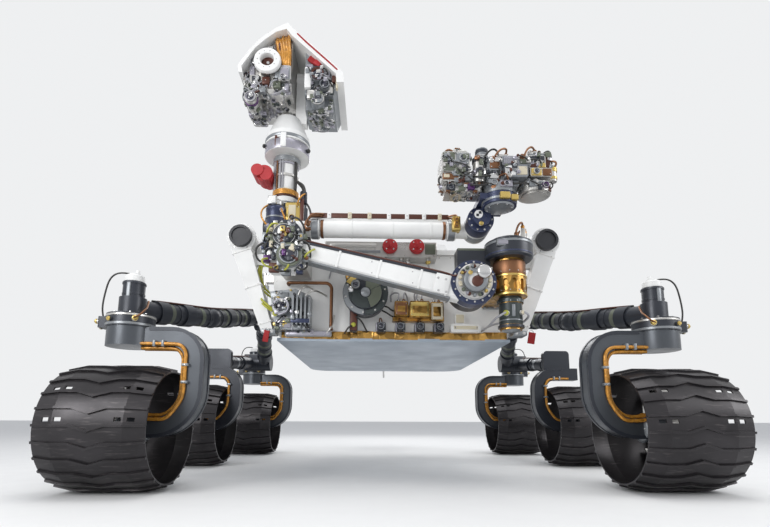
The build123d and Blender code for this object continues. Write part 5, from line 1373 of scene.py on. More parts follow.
class ROVER_OT_shoulder(bpy.types.Operator):
    """Bands, motor sleeve, flange bolts and cables of the shoulder."""

    bl_idname = "rover.shoulder"
    bl_label = "Arm Shoulder"

    def execute(self, context):
        lead = context.scene.rover_sizes.lead
        x, y = 486, -1255
        base = Dressing("shoulder_bands")
        base.turned([(60, 0), (68.5, 0), (70, 4), (70, 58), (68.5, 62), (60, 62), (60, 0)], at(x, y, 892), UPWARD,
                    "copper", 48)
        base.hoop((x, y, 888), UPWARD, 71, 7, 3, "brass", 48)
        base.hoop((x, y, 808), UPWARD, 71, 8, 2.5, "brass", 48)
        base.turned([(40, 4), (48, 4), (49, 8), (49, 108), (50, 112), (56, 114), (56, 128), (50, 130), (49, 133),
                     (49, 140), (40, 140), (40, 4)], at(x, y, 662), UPWARD, "teal", 44)
        base.hoop((x, y, 674), UPWARD, 52, 12, 3, "housing", 44)
        base.hoop((x, y, 700), UPWARD, 49, 5, 1.5, "slate", 44)
        base.turned([(0, 6), (30, 6), (38, 2), (42, -4), (0, -4)], at(x, y, 660), DOWNWARD, "slate", 32)
        base.block((x - 9, y - 53, 712), (x + 5, y - 46, 764), "slate", 3)
        for c, s in turns(12, 0.5):
            base.screw(at(x + 71 * c, y + 71 * s, 822), (c, s, 0), "steel", 3)
            base.screw(at(x + 70 * c, y + 70 * s, 906), (c, s, 0), "steel", 2.6)
            base.hexagon(at(x + 54 * c, y + 54 * s, 780), (c, s, 0), "steel", 2.4)
        base.connector(at(x - 28, y - 40, 726), (-0.57, -0.82, 0), "metal", "lime", 10, 20)
        base.connector(at(x + 33, y - 37, 730), (0.66, -0.75, 0), "metal", "cream", 8, 16)
        base.block((431, -1010, 816), (541, -982, 828), "slate", 4)
        for px in (446, 486, 526):
            base.hexagon(at(px, -1010, 822), NOSEWARD, "steel", 4)
        base.done()
        cable("shoulder_cables", [
            [(x - 39, y - 56, 726), (x - 52, y - 68, 718), (x - 74, y - 44, 706), (x - 76, y + 10, 700),
             (x - 70, y + 90, 700), (x - 64, y + 190, 704), (x - 60, y + 276, 708)],
            [(x + 43, y - 48, 730), (x + 58, y - 56, 722), (x + 70, y - 20, 712), (x + 68, y + 80, 706),
             (x + 60, y + 190, 710), (x + 56, y + 276, 714)],
            [(x - 30, y + 36, 700), (x - 40, y + 80, 706), (x - 46, y + 180, 716), (x - 48, y + 273, 720)],
        ], lead * 1.6, "grey_sheath")

        flange = Dressing("shoulder_flange", "arm_shoulder")
        flange.hoop((x, y, 1030), UPWARD, 102, 10, 2.5, "slate", 56)
        flange.hoop((x, y, 984), UPWARD, 102, 6, 1.5, "navy", 56)
        for c, s in turns(14):
            flange.hexagon(at(x + 89 * c, y + 89 * s, 1042), UPWARD, "steel", 4.5)
        flange.turned([(0, 7), (14, 7), (18, 3), (26, 2), (26, -2), (0, -2)], at(x + 34, y + 4, 1057), UPWARD,
                      "lavender", 28)
        for px, py, top, finish in (
            (548, -1272, 1124, "amber"), (566, -1244, 1112, "amber"), (540, -1222, 1102, "copper"),
            (514, -1286, 1086, "copper"), (520, -1208, 1084, "lavender"),
        ):
            under = "metal" if finish == "amber" else finish
            flange.block((px - 10, py - 9, 1040), (px + 10, py + 9, top - 12), under, 3)
            flange.turned([(0, 14), (7, 14), (9, 10), (9, -2), (0, -2)], at(px, py, top - 12), UPWARD, finish, 14)
        flange.block((270, -1190, 918), (398, -1180, 1014), "teal", 5)
        flange.block((262, -1256, 1014), (404, -1190, 1026), "olive", 4)
        for px in (276, 306, 336, 366, 396):
            flange.hexagon(at(px, -1222, 1026), UPWARD, "steel", 4)
        flange.lidded((412, -1350, 1004), (470, -1330, 1034), "slate", "lavender", 5, 3, screws=False)
        flange.done()
        cable("shoulder_turn_leads", [
            [(548, -1272, 1120), (544, -1286, 1134), (530, -1294, 1128), (518, -1292, 1110), (514, -1286, 1090)],
            [(566, -1244, 1108), (576, -1238, 1122), (564, -1222, 1130), (548, -1218, 1118), (542, -1220, 1104)],
            [(520, -1208, 1084), (524, -1196, 1094), (540, -1196, 1092), (556, -1204, 1076), (560, -1212, 1058)],
        ], lead * 1.5, "copper", "arm_shoulder")
        return {"FINISHED"}


# Places in the arm's plane: elevation, elbow and wrist axles
ELEVATION, ELBOW, WRIST = (315, 850), (-474, 1040), (352, 1128)
BEAM_SLOPE = Vector((789, 0, -190)).normalized()


class ROVER_OT_arm(bpy.types.Operator):
    """Joint covers, edge strips, elbow actuators and the forearm's harness cover."""

    bl_idname = "rover.arm"
    bl_label = "Arm Links"

    def execute(self, context):
        lead = context.scene.rover_sizes.lead
        body = "arm_upper"
        beam = Dressing("upper_arm_fittings", body)

        def beam_line(x, half=33):
            """Height of the beam's middle line and the half height that has grown from the elbow's."""
            share = (x - ELBOW[0]) / 789
            return 998 - 190 * share, half + 13 * share

        def over(x, rise=True):
            """Height of the beam's top or bottom line."""
            middle, half = beam_line(x, 35)
            return middle + (half if rise else -half)

        for rise, finish, thick in ((True, "housing", 7), (False, "slate", 5)):
            x0, x1 = -396, 216
            z0, z1 = over(x0, rise), over(x1, rise)
            step = thick if rise else -thick
            section = [at(x0, y, z) for y, z in
                       ((-1319, z0 - step * 0.4), (-1319, z0 + step), (-1262, z0 + step), (-1262, z0 - step * 0.4))]
            beam.ribbon(section, [("go", Vector((x1 - x0, 0, z1 - z0)) * MM)], finish)
        lean = BEAM_SLOPE.to_track_quat("X", "Z").to_matrix().to_4x4()
        for x in (-384, -250, -80, 90, 204):
            z, half = beam_line(x)
            beam.block((x - 5, -1326, z - half), (x + 5, -1320, z + half), "white", 1.5, tilt=lean)
        beam.screws([(x, -1323, beam_line(x)[0] + shift) for x in (-366, -110, 60, 186) for shift in (-24, 24)])
        beam.block((150, -1332, 800), (214, -1322, 884), "white", 4, tilt=lean)
        for x, z in ((166, 812), (198, 806), (166, 866), (198, 860)):
            beam.hexagon(at(x, -1332, z), NOSEWARD, "steel", 3.6)
        # Elevation joint: blue-black outer ring, cream inner ring, silver cap
        ex, ez = ELEVATION
        beam.turned([(76, -4), (95.5, -4), (96.5, -10), (96.5, -64), (94, -67), (88, -67), (88, -10), (76, -10),
                     (76, -4)], at(ex, -1331, ez), NOSEWARD, "navy", 64)
        beam.turned([(47, -2), (75, -2), (75, 2), (72, 5), (62, 5), (58, 3), (50, 3), (47, 1), (47, -2)],
                    at(ex, -1345, ez), NOSEWARD, "metal", 56)
        beam.turned([(32, 2), (46.5, 2), (46.5, -14), (49, -14), (49, 4), (44, 8), (32, 8), (32, 2)],
                    at(ex, -1361, ez), NOSEWARD, "slate", 44)
        beam.turned([(0, 10), (22, 10), (28, 6), (31, 0), (31, -16), (0, -16)], at(ex + 34, -1373, ez + 34), NOSEWARD,
                    "steel", 32)
        beam.turned([(0, 8), (18, 8), (24, 4), (24, -2), (0, -2)], at(ex + 8, -1361, ez - 6), NOSEWARD, "maroon", 24)
        ring_tones = ("cream", "olive", "slate", "brass", "cream", "maroon", "housing", "cream", "lavender", "olive")
        for number in range(22):
            turn = 2 * pi * (number + 0.3 * (number % 3)) / 22
            beam.turned([(0, 9), (5, 9), (6.5, 6), (8, 4), (8, -2), (0, -2)],
                        at(ex + 62 * cos(turn), -1350, ez + 62 * sin(turn)), NOSEWARD,
                        ring_tones[number * 7 % len(ring_tones)], 10)
        beam.bolt_circle((ex, -1335, ez), NOSEWARD, 85, 16, finish="metal", size=2.8)
        beam.connector(at(ex - 22, -1361, ez + 28), NOSEWARD, "metal", "brass", 8, 16)
        # Elbow joint and the actuators under it
        bx, bz = ELBOW
        beam.turned([(48, -2), (73, -2), (74, -8), (74, -62), (71, -65), (66, -65), (66, -8), (48, -8), (48, -2)],
                    at(bx, -1331, bz), NOSEWARD, "housing", 52)
        beam.turned([(0, 6), (20, 6), (24, 2), (44, 1), (47.5, -3), (47.5, -12), (44, -12), (0, -8)], at(bx, -1349, bz),
                    NOSEWARD, "housing", 40)
        beam.turned([(0, 9), (10, 9), (14, 6), (18, 6), (18, 4), (0, 4)], at(bx, -1349, bz), NOSEWARD, "brass", 24)
        beam.bolt_circle((bx, -1333, bz), NOSEWARD, 62, 14, size=3.2)
        beam.bolt_circle((bx, -1351, bz), NOSEWARD, 34, 6, size=3)
        beam.hoop((-448, -1352, 948), NOSEWARD, 50, 14, 3, "slate", 40)
        beam.hoop((-448, -1300, 948), NOSEWARD, 50, 20, 2.5, "olive", 40)
        beam.turned([(38, 2), (49, 2), (51.5, -1), (51.5, -14), (49, -14), (38, -2), (38, 2)], at(-448, -1363, 948),
                    NOSEWARD, "olive", 40)
        beam.lens(at(-448, -1363, 948), NOSEWARD, 38, "housing", "slate", 6)
        beam.lens(at(-528, -1320, 964), NOSEWARD, 28, "housing", "lavender", 8)
        beam.blocks((
            ((-540, -1336, 1010), (-506, -1318, 1046), "olive"), ((-574, -1322, 984), (-540, -1276, 1018), "navy"),
            ((-572, -1316, 1024), (-538, -1284, 1062), "slate"), ((-560, -1330, 930), (-530, -1290, 958), "purple"),
            ((-536, -1330, 884), (-494, -1308, 924), "maroon"), ((-486, -1326, 872), (-446, -1304, 902), "slate"),
            ((-424, -1330, 880), (-396, -1300, 920), "navy"), ((-400, -1338, 926), (-372, -1322, 958), "slate"),
            ((-430, -1342, 990), (-396, -1322, 1022), "steel"), ((-404, -1334, 1026), (-380, -1318, 1050), "olive"),
            ((-520, -1340, 1062), (-486, -1322, 1086), "cream"), ((-462, -1336, 1082), (-430, -1318, 1106), "slate"),
        ), 4, "slate")
        for px, pz, look, collar in (
            (-556, 1000, (-0.8, -0.6, 0.1), "lavender"), (-500, 906, (-0.2, -0.9, -0.4), "brass"),
            (-412, 900, (0.3, -0.9, -0.2), "steel"), (-386, 942, (0.5, -0.85, 0), "copper"),
            (-414, 1006, (0.2, -1, 0.1), "steel"), (-508, 1028, (-0.2, -1, 0.2), "brass"),
            (-504, 1074, (-0.1, -0.8, 0.6), "cream"), (-446, 1094, (0.2, -0.8, 0.6), "lavender"),
        ):
            beam.connector(at(px, -1328, pz), look, "slate", collar, 8, 20)
        dark_mix = ("slate", "metal", "olive", "maroon", "cream", "housing", "purple", "brass", "housing")
        seats = beam.crowd("upper_arm", (-560, 0, 885), (-380, 0, 1100), AFTWARD, 64, dark_mix, 31, (12, 28), (6, 18))
        beam.done()
        cable("elbow_crowd_leads", looped(seats, 16), lead, "sheath", body)
        cable("elbow_cables", [
            [(-414, -1350, 1008), (-396, -1368, 1010), (-372, -1362, 996), (-362, -1340, 970), (-366, -1326, 950)],
            [(-556, -1344, 1002), (-580, -1352, 990), (-592, -1336, 960), (-580, -1312, 930), (-560, -1300, 936)],
            [(-500, -1348, 900), (-508, -1366, 886), (-486, -1368, 874), (-462, -1350, 880), (-452, -1326, 888)],
            [(-412, -1348, 896), (-400, -1362, 884), (-384, -1350, 890), (-376, -1330, 910), (-380, -1316, 930)],
            [(-446, -1344, 1106), (-430, -1362, 1112), (-404, -1356, 1096), (-390, -1340, 1070), (-392, -1326, 1048)],
            [(-508, -1348, 1032), (-520, -1366, 1040), (-540, -1360, 1036), (-556, -1340, 1030), (-560, -1318, 1024)],
        ], lead * 1.4, "sheath", body)
        cable("elbow_leads", [
            [(-504, -1344, 1086), (-516, -1364, 1084), (-536, -1356, 1066), (-548, -1334, 1048), (-552, -1318, 1040)],
            [(-386, -1346, 944), (-376, -1364, 950), (-360, -1356, 966), (-352, -1338, 978), (-350, -1325, 985)],
            [(-540, -1332, 940), (-560, -1350, 934), (-556, -1356, 912), (-536, -1342, 900), (-522, -1330, 902)],
            [(-470, -1326, 890), (-468, -1350, 884), (-452, -1364, 890), (-446, -1366, 904)],
        ], lead * 1.3, "lime", body)
        cable("upper_arm_flex", [
            [(-400, -1318, over(-400) + 12), (-300, -1316, over(-300) + 11), (-100, -1316, over(-100) + 11),
             (100, -1316, over(100) + 11), (206, -1318, over(206) + 11), (236, -1330, 872), (258, -1352, 884),
             (284, -1362, 882)],
            [(-400, -1306, over(-400) + 12), (-300, -1306, over(-300) + 11), (-100, -1306, over(-100) + 11),
             (100, -1306, over(100) + 11), (214, -1304, over(214) + 10)],
        ], lead * 1.3, "maroon", body)

        fore = Dressing("forearm_cover", "arm_fore")
        fore.block((-386, -1240, 1164), (230, -1200, 1187), "maroon", 4)
        for x in (-300, -209, -122, -36, 44, 120, 190):
            fore.block((x - 9, -1243, 1161), (x + 9, -1198, 1190), "cream" if x % 4 else "white", 3)
            fore.screw(at(x, -1243, 1176), NOSEWARD, "steel", 2.6)
        for x, radius, width, thickness, finish in (
            (-362, 43, 30, 2.5, "slate"), (240, 43, 30, 2.5, "slate"), (-330, 38, 12, 2.5, "copper"),
            (208, 38, 12, 2.5, "copper"), (-200, 38, 8, 1.5, "white"), (-20, 38, 8, 1.5, "white"),
            (150, 38, 8, 1.5, "white"),
        ):
            fore.hoop((x, -1220, 1118), (1, 0, 0), radius, width, thickness, finish, 36)
        fx, fz = WRIST
        fore.block((238, -1286, 1096), (274, -1240, 1160), "brass", 4)
        fore.block((244, -1291, 1104), (268, -1284, 1152), "film", 3)
        fore.screws([(256, -1291, z) for z in (1112, 1128, 1144)], finish="maroon", radius=4)
        fore.hoop((fx, -1220, fz), NOSEWARD, 56, 40, 2, "slate", 40)
        fore.block((-404, -1262, 1096), (-372, -1240, 1140), "copper", 4)
        fore.connector(at(-388, -1262, 1118), NOSEWARD, "metal", "copper", 9, 18)
        fore.turned([(0, 8), (26, 8), (40, 4), (60, 3), (66, -2), (0, -2)], at(bx, -1185, bz), AFTWARD, "slate", 40)
        fore.done()
        cable("forearm_cables", [
            [(-388, -1278, 1120), (-386, -1292, 1134), (-372, -1286, 1156), (-352, -1264, 1172), (-326, -1244, 1178)],
            [(-410, -1236, 1104), (-404, -1256, 1128), (-386, -1262, 1152), (-360, -1254, 1168), (-330, -1242, 1170)],
            [(-400, -1226, 1080), (-410, -1250, 1094), (-396, -1268, 1100), (-380, -1258, 1102)],
            [(228, -1238, 1176), (248, -1246, 1180), (262, -1258, 1176), (262, -1270, 1160)],
            [(228, -1230, 1170), (246, -1232, 1174), (258, -1240, 1168), (254, -1250, 1156)],
        ], lead * 1.5, "copper", "arm_fore")

        hand = Dressing("wrist_fittings", "arm_wrist")
        hand.turned([(0, 8), (16, 8), (20, 4), (38, 3), (38, -4), (0, -4)], at(fx, -1349, fz), NOSEWARD, "navy", 36)
        hand.turned([(40, -1), (57, -1), (58, -6), (58, -62), (54, -66), (50, -66), (50, -8), (40, -8), (40, -1)],
                    at(fx, -1326, fz), NOSEWARD, "navy", 44)
        hand.bolt_circle((fx, -1327, fz), NOSEWARD, 48, 10, size=3)
        hand.turned([(0, 2), (17, 2), (18, 0), (18, -3), (0, -3)], at(fx - 16, -1359, fz + 8), NOSEWARD, "white", 24)
        for shift in (0, -11):
            low_x, low_z = fx - 16 + shift, fz + 8 + shift
            hand.block((low_x, -1363, low_z), (low_x + 11, -1360, low_z + 11), "cap", 1)
        hand.hoop((415, -1386, 1168), UPWARD, 70, 10, 2.5, "slate", 48)
        hand.hoop((415, -1386, 1186), UPWARD, 70, 6, 1.5, "navy", 48)
        hand.block((398, -1468, 1156), (440, -1446, 1184), "brass", 4)
        hand.block((446, -1456, 1156), (476, -1436, 1180), "brass", 4)
        hand.turned([(0, 12), (30, 12), (40, 8), (56, 6), (62, -2), (0, -2)], at(415, -1386, 1152), DOWNWARD,
                    "slate", 40)
        for c, s in turns(8, 0.5):
            hand.hexagon(at(415 + 50 * c, -1386 + 50 * s, 1145), DOWNWARD, "steel", 3.4)
        hand.connector(at(fx - 6, -1349, fz - 30), (0, -1, -0.3), "metal", "brass", 8, 16)
        hand.done()
        return {"FINISHED"}


class ROVER_OT_turret(bpy.types.Operator):
    """Lids, straps, lenses, connectors and cables of the tools on the turret."""

    bl_idname = "rover.turret"
    bl_label = "Turret Tools"

    def execute(self, context):
        lead = context.scene.rover_sizes.lead
        body = "arm_turret"
        drill = Dressing("turret_drill_fittings", body)
        drill.blocks((
            ((174, -1462, 1310), (222, -1455, 1352), "olive"), ((226, -1462, 1300), (278, -1455, 1350), "slate"),
            ((174, -1461, 1272), (220, -1455, 1304), "olive"), ((172, -1453, 1240), (242, -1445, 1266), "copper"),
            ((176, -1456, 1246), (200, -1450, 1260), "cream"), ((232, -1452, 1236), (262, -1426, 1262), "maroon"),
            ((190, -1434, 1203), (226, -1420, 1228), "housing"), ((240, -1432, 1204), (268, -1420, 1228), "olive"),
            ((276, -1440, 1204), (304, -1420, 1230), "purple"), ((264, -1444, 1240), (296, -1428, 1268), "slate"),
            ((230, -1460, 1348), (270, -1420, 1362), "metal"), ((184, -1440, 1352), (212, -1400, 1366), "olive"),
        ), 3)
        drill.lens(at(208, -1434, 1215), NOSEWARD, 11, "housing", "slate", 5)
        drill.lens(at(254, -1462, 1326), NOSEWARD, 15, "slate", "steel", 6)
        drill.lens(at(246, -1452, 1250), NOSEWARD, 10, "olive", "steel", 5)
        drill.hoop((323, -1432, 1328), UPWARD, 24, 18, 2.5, "housing", 32)
        drill.hoop((323, -1432, 1290), UPWARD, 24, 4, 1.2, "steel", 32)
        drill.hoop((323, -1432, 1250), UPWARD, 24, 8, 2, "slate", 32)
        drill.turned([(0, 10), (10, 10), (14, 6), (20, 4), (22, -2), (0, -2)], at(323, -1432, 1340), UPWARD,
                     "housing", 24)
        drill.hoop((237, -1376, 1384), UPWARD, 34, 8, 2, "slate", 36)
        drill.turned([(0, 6), (14, 6), (20, 3), (28, 2), (28, -2), (0, -2)], at(237, -1376, 1398), UPWARD, "metal", 28)
        drill.bolt_circle((237, -1376, 1399), UPWARD, 24, 6, size=3)
        drill.screws((
            (180, -1462, 1346), (216, -1462, 1316), (232, -1462, 1344), (272, -1462, 1306), (180, -1453, 1262),
            (236, -1453, 1244), (214, -1461, 1300), (180, -1461, 1278),
        ), radius=2.6)
        drill.screws([(169, y, z) for z in (1292, 1316, 1340) for y in (-1420, -1380)], (-1, 0, 0))
        drill.connector(at(186, -1400, 1366), UPWARD, "metal", "brass", 8, 16)
        drill.connector(at(176, -1426, 1216), (-0.9, -0.4, 0), "metal", "lavender", 8, 18)
        tool_mix = ("slate", "housing", "metal", "steel", "olive", "metal", "maroon", "lavender", "copper", "slate")
        seats = drill.crowd("turret_drill", (172, 0, 1206), (352, 0, 1390), AFTWARD, 62, tool_mix, 41, (10, 26),
                            (4, 13))
        drill.crowd("turret_drill", (172, -1440, 0), (350, -1300, 0), UPWARD, 50, tool_mix, 42, (10, 24), (2, 5))
        drill.done()

        hub = Dressing("turret_hub_fittings", body)
        hub.blocks((
            ((421, -1480, 1248), (462, -1473, 1288), "white"), ((466, -1479, 1250), (508, -1473, 1286), "cream"),
            ((416, -1468, 1302), (478, -1461, 1333), "lavender"), ((484, -1468, 1304), (514, -1461, 1330), "olive"),
            ((362, -1464, 1284), (402, -1457, 1330), "copper"), ((368, -1468, 1312), (396, -1462, 1326), "maroon"),
            ((364, -1452, 1246), (404, -1442, 1270), "steel"), ((356, -1456, 1216), (396, -1444, 1240), "slate"),
            ((402, -1462, 1208), (452, -1444, 1236), "lavender"), ((456, -1454, 1214), (480, -1440, 1238), "slate"),
            ((400, -1456, 1338), (440, -1420, 1350), "metal"),
        ), 3)
        hub.lens(at(380, -1444, 1228), NOSEWARD, 11, "slate", "steel", 14)
        hub.lens(at(428, -1462, 1222), NOSEWARD, 12, "lavender", "steel", 5)
        hub.hoop((341, -1416, 1376), UPWARD, 25, 14, 2, "housing", 30)
        hub.hoop((341, -1416, 1354), UPWARD, 25, 5, 2, "steel", 30)
        hub.turned([(0, 5), (12, 5), (18, 2), (22, 0), (22, -2), (0, -2)], at(341, -1416, 1388), UPWARD, "maroon", 24)
        for x in range(416, 473, 7):
            hub.block((x, -1470, 1306), (x + 3, -1466, 1328), "slate", 1)
        hub.screws((
            (427, -1480, 1254), (457, -1480, 1282), (472, -1479, 1256), (503, -1479, 1280), (368, -1464, 1290),
            (398, -1464, 1290), (488, -1468, 1308), (510, -1468, 1326),
        ), radius=2.6)
        hub.connector(at(438, -1430, 1350), UPWARD, "metal", "copper", 8, 18)
        hub.connector(at(410, -1420, 1350), UPWARD, "metal", "brass", 7, 14)
        seats += hub.crowd("turret_hub", (360, 0, 1206), (520, 0, 1350), AFTWARD, 40, tool_mix, 43, (10, 24), (4, 12))
        hub.done()

        tool = Dressing("turret_sampler_fittings", body)
        tool.blocks((
            ((526, -1460, 1316), (588, -1453, 1344), "housing"), ((526, -1460, 1294), (556, -1453, 1312), "maroon"),
            ((528, -1468, 1254), (570, -1461, 1285), "brass"), ((574, -1468, 1254), (611, -1461, 1285), "copper"),
            ((560, -1461, 1292), (590, -1453, 1313), "brass"), ((598, -1432, 1300), (622, -1424, 1352), "maroon"),
            ((530, -1432, 1346), (600, -1412, 1372), "slate"), ((600, -1440, 1352), (624, -1420, 1374), "olive"),
            ((520, -1460, 1212), (556, -1440, 1238), "slate"), ((572, -1456, 1210), (600, -1440, 1232), "purple"),
        ), 3)
        tool.hoop((631, -1416, 1302), UPWARD, 18, 18, 3, "brass", 26)
        tool.hoop((631, -1416, 1266), UPWARD, 18, 12, 2.5, "brass", 26)
        tool.turned([(0, 8), (8, 8), (12, 4), (17, 2), (17, -2), (0, -2)], at(631, -1416, 1316), UPWARD, "brass", 22)
        tool.hoop((561, -1390, 1232), UPWARD, 66, 8, 3, "slate", 48)
        tool.hoop((561, -1390, 1210), UPWARD, 66, 6, 2, "metal", 48)
        for c, s in turns(16):
            tool.screw(at(561 + 66 * c, -1390 + 66 * s, 1221), (c, s, 0), "steel", 3)
        tool.lens(at(588, -1456, 1220), NOSEWARD, 12, "purple", "steel", 5)
        tool.lens(at(548, -1468, 1270), NOSEWARD, 12, "slate", "steel", 5)
        tool.connector(at(560, -1424, 1376), UPWARD, "metal", "copper", 8, 14)
        tool.connector(at(606, -1400, 1376), UPWARD, "metal", "brass", 7, 14)
        tool.screws((
            (532, -1460, 1340), (582, -1460, 1320), (532, -1468, 1260), (564, -1468, 1280), (604, -1468, 1260),
        ), radius=2.6)
        seats += tool.crowd("turret_sampler", (522, 0, 1206), (648, 0, 1375), AFTWARD, 44, tool_mix, 44, (10, 24),
                            (4, 12))
        tool.done()
        cable("turret_crowd_leads", looped(seats, 15), lead * 0.9, "sheath", body)
        cable("turret_copper_leads", [
            [(438, -1430, 1366), (440, -1446, 1376), (420, -1462, 1372), (396, -1466, 1356), (384, -1464, 1336)],
            [(560, -1424, 1388), (548, -1440, 1396), (524, -1450, 1382), (510, -1452, 1356), (504, -1450, 1338)],
            [(622, -1424, 1340), (636, -1440, 1334), (644, -1440, 1320), (638, -1428, 1310)],
            [(186, -1400, 1380), (196, -1416, 1390), (216, -1422, 1384), (232, -1420, 1366)],
            [(404, -1448, 1262), (412, -1466, 1256), (416, -1484, 1250), (424, -1486, 1240), (430, -1472, 1232)],
        ], lead * 1.4, "copper", body)
        cable("turret_dark_leads", [
            [(410, -1420, 1362), (402, -1440, 1374), (378, -1452, 1376), (356, -1446, 1360), (346, -1436, 1344)],
            [(606, -1400, 1388), (616, -1418, 1394), (626, -1426, 1376), (628, -1426, 1352), (630, -1424, 1330)],
            [(168, -1430, 1216), (158, -1440, 1228), (158, -1436, 1248), (166, -1424, 1262), (172, -1414, 1270)],
            [(286, -1440, 1222), (300, -1454, 1216), (326, -1456, 1212), (350, -1452, 1222), (358, -1450, 1228)],
            [(452, -1450, 1226), (470, -1468, 1218), (498, -1466, 1218), (518, -1456, 1224)],
            [(300, -1440, 1256), (306, -1456, 1250), (330, -1466, 1246), (352, -1460, 1252), (366, -1450, 1258)],
        ], lead * 1.3, "sheath", body)
        return {"FINISHED"}


# Foot of the power source's axis and its slope
POWER_FOOT = Vector((0, 892, 875))
POWER_SLOPE = Vector((0, cos(radians(24)), sin(radians(24))))
# Middle of the steerable antenna's panel
PANEL_MIDDLE = (340, 1414.3)


class ROVER_OT_aft(bpy.types.Operator):
    """End plate, fin tips and pipes of the power source, and the antennas' fittings."""

    bl_idname = "rover.aft"
    bl_label = "Power Source and Antennas"

    def execute(self, context):
        lead = context.scene.rover_sizes.lead
        kit = Dressing("power_source_fittings")
        top = POWER_FOOT + POWER_SLOPE * 600
        kit.turned([(0, 14), (50, 14), (60, 8), (110, 6), (118, 0), (118, -2), (0, -2)], at(*top), POWER_SLOPE,
                   "slate", 48)
        lid = facing(at(*(top + POWER_SLOPE * 7)), POWER_SLOPE)
        for c, s in turns(12):
            kit.hexagon(lid @ Vector((96 * MM * c, 96 * MM * s, 0)), POWER_SLOPE, "steel", 5)
        for reach in (24, 300, 576):
            middle = POWER_FOOT + POWER_SLOPE * reach
            kit.hoop(tuple(middle), POWER_SLOPE, 132, 14, 3, "metal", 56)
        base = facing(at(*(POWER_FOOT - POWER_SLOPE * 30)), -POWER_SLOPE)
        for c, s in turns(10, 0.5):
            kit.hexagon(base @ Vector((132 * MM * c, 132 * MM * s, 0)), -POWER_SLOPE, "steel", 6)
        side_way = Vector((1, 0, 0))
        up_way = POWER_SLOPE.cross(side_way)
        for c, s in turns(8):
            out = side_way * c + up_way * s
            across = POWER_SLOPE.cross(out)
            start = POWER_FOOT + POWER_SLOPE * 64 + out * 259
            section = [at(*(start + out * a + across * b)) for a, b in ((-7, -7), (4, -7), (4, 7), (-7, 7))]
            kit.ribbon(section, [("go", POWER_SLOPE * 482 * MM)], "white")
        kit.done()

        pipes, clips = [], Dressing("heat_plate_clips")
        for side in (-1, 1):
            x = side * 318
            route = [(x, 896, 760)]
            for number, z in enumerate(range(760, 1150, 52)):
                near, far = (910, 1262) if number % 2 == 0 else (1262, 910)
                sign = 1 if far > near else -1
                route += [(x, near, z), (x, near + sign * 60, z), (x, far - sign * 60, z), (x, far - sign * 4, z),
                          (x, far, z + 26), (x, far - sign * 4, z + 48)]
            pipes.append(route)
            low, high = sorted((side * 310, side * 326))
            for y in (980, 1086, 1194):
                clips.block((low, y - 6, 748), (high, y + 6, 1152), "slate", 3)
                clips.screws([(side * 326, y, z) for z in range(786, 1150, 52)], (side, 0, 0), radius=3.5)
        clips.done()
        cable("heat_plate_pipes", pipes, 5.5 * MM, "metal")
        cable("tail_pipes", [
            [(side * 300, 905, z), (side * 292, 800, z + 8), (side * 276, 640, z + 4), (side * 262, 500, z - 6),
             (side * 250, 408, z - 10)]
            for side in (-1, 1) for z in (770, 800)
        ], 6 * MM, "copper")

        dish = Dressing("antenna_panel_face", "antenna_tilt")
        mid_x, mid_z = PANEL_MIDDLE
        place, _ = seat("antenna_panel", mid_x, z=mid_z + 60, look=NOSEWARD)
        face = place.y / MM
        for ring in (136, 92, 48):
            dish.turned([(ring - 5, -1), (ring, -1), (ring, 2), (ring - 5, 2), (ring - 5, -1)],
                        at(mid_x, face, mid_z), AFTWARD, "metal", 6)
        for number in range(6):
            turn = pi / 6 + 2 * pi * number / 6
            dish.screw(at(mid_x + 118 * cos(turn), face, mid_z + 118 * sin(turn)), AFTWARD)
        back, _ = seat("antenna_panel", mid_x + 60, z=mid_z + 70)
        for turn in (0.6, 1.6, 2.6, 3.7, 4.7, 5.7):
            spot = at(mid_x + 70 * cos(turn), back.y / MM, mid_z + 70 * sin(turn))
            dish.block(tuple(spot / MM - Vector((22, 5, 14))), tuple(spot / MM + Vector((22, 2, 14))), "slate", 3)
        dish.done()

        stand = Dressing("antenna_stand_fittings")
        stand.bolt_circle((340, 90, 1130), UPWARD, 54, 8, size=4)
        stand.hoop((340, 90, 1160), UPWARD, 44, 10, 3, "slate", 36)
        stand.hoop((340, 90, 1206), UPWARD, 44, 12, 4, "metal", 36)
        stand.connector(at(384, 76, 1150), (1, -0.3, 0), "metal", "brass", 9, 20)
        for z in (1150, 1190, 1230, 1270, 1310, 1346):
            stand.hoop((-330, 190, z), UPWARD, 62, 5, 2, "white", 44)
        stand.turned([(0, 8), (20, 8), (30, 4), (44, 3), (44, -2), (0, -2)], at(-330, 190, 1364), UPWARD, "white", 40)
        stand.bolt_circle((-330, 190, 1138), UPWARD, 73, 8, size=4)
        stand.connector(at(-268, 176, 1150), (1, -0.3, 0), "metal", "brass", 9, 20)
        stand.done()
        yoke = Dressing("antenna_yoke_fittings", "antenna_turn")
        for side in (-1, 1):
            yoke.turned([(0, 6), (8, 6), (12, 3), (16, 2), (16, -2), (0, -2)], at(mid_x + side * 38, 90, mid_z),
                        (side, 0, 0), "steel", 22)
        yoke.bolt_circle((340, 90, 1254), UPWARD, 50, 8, size=3.6)
        yoke.done()

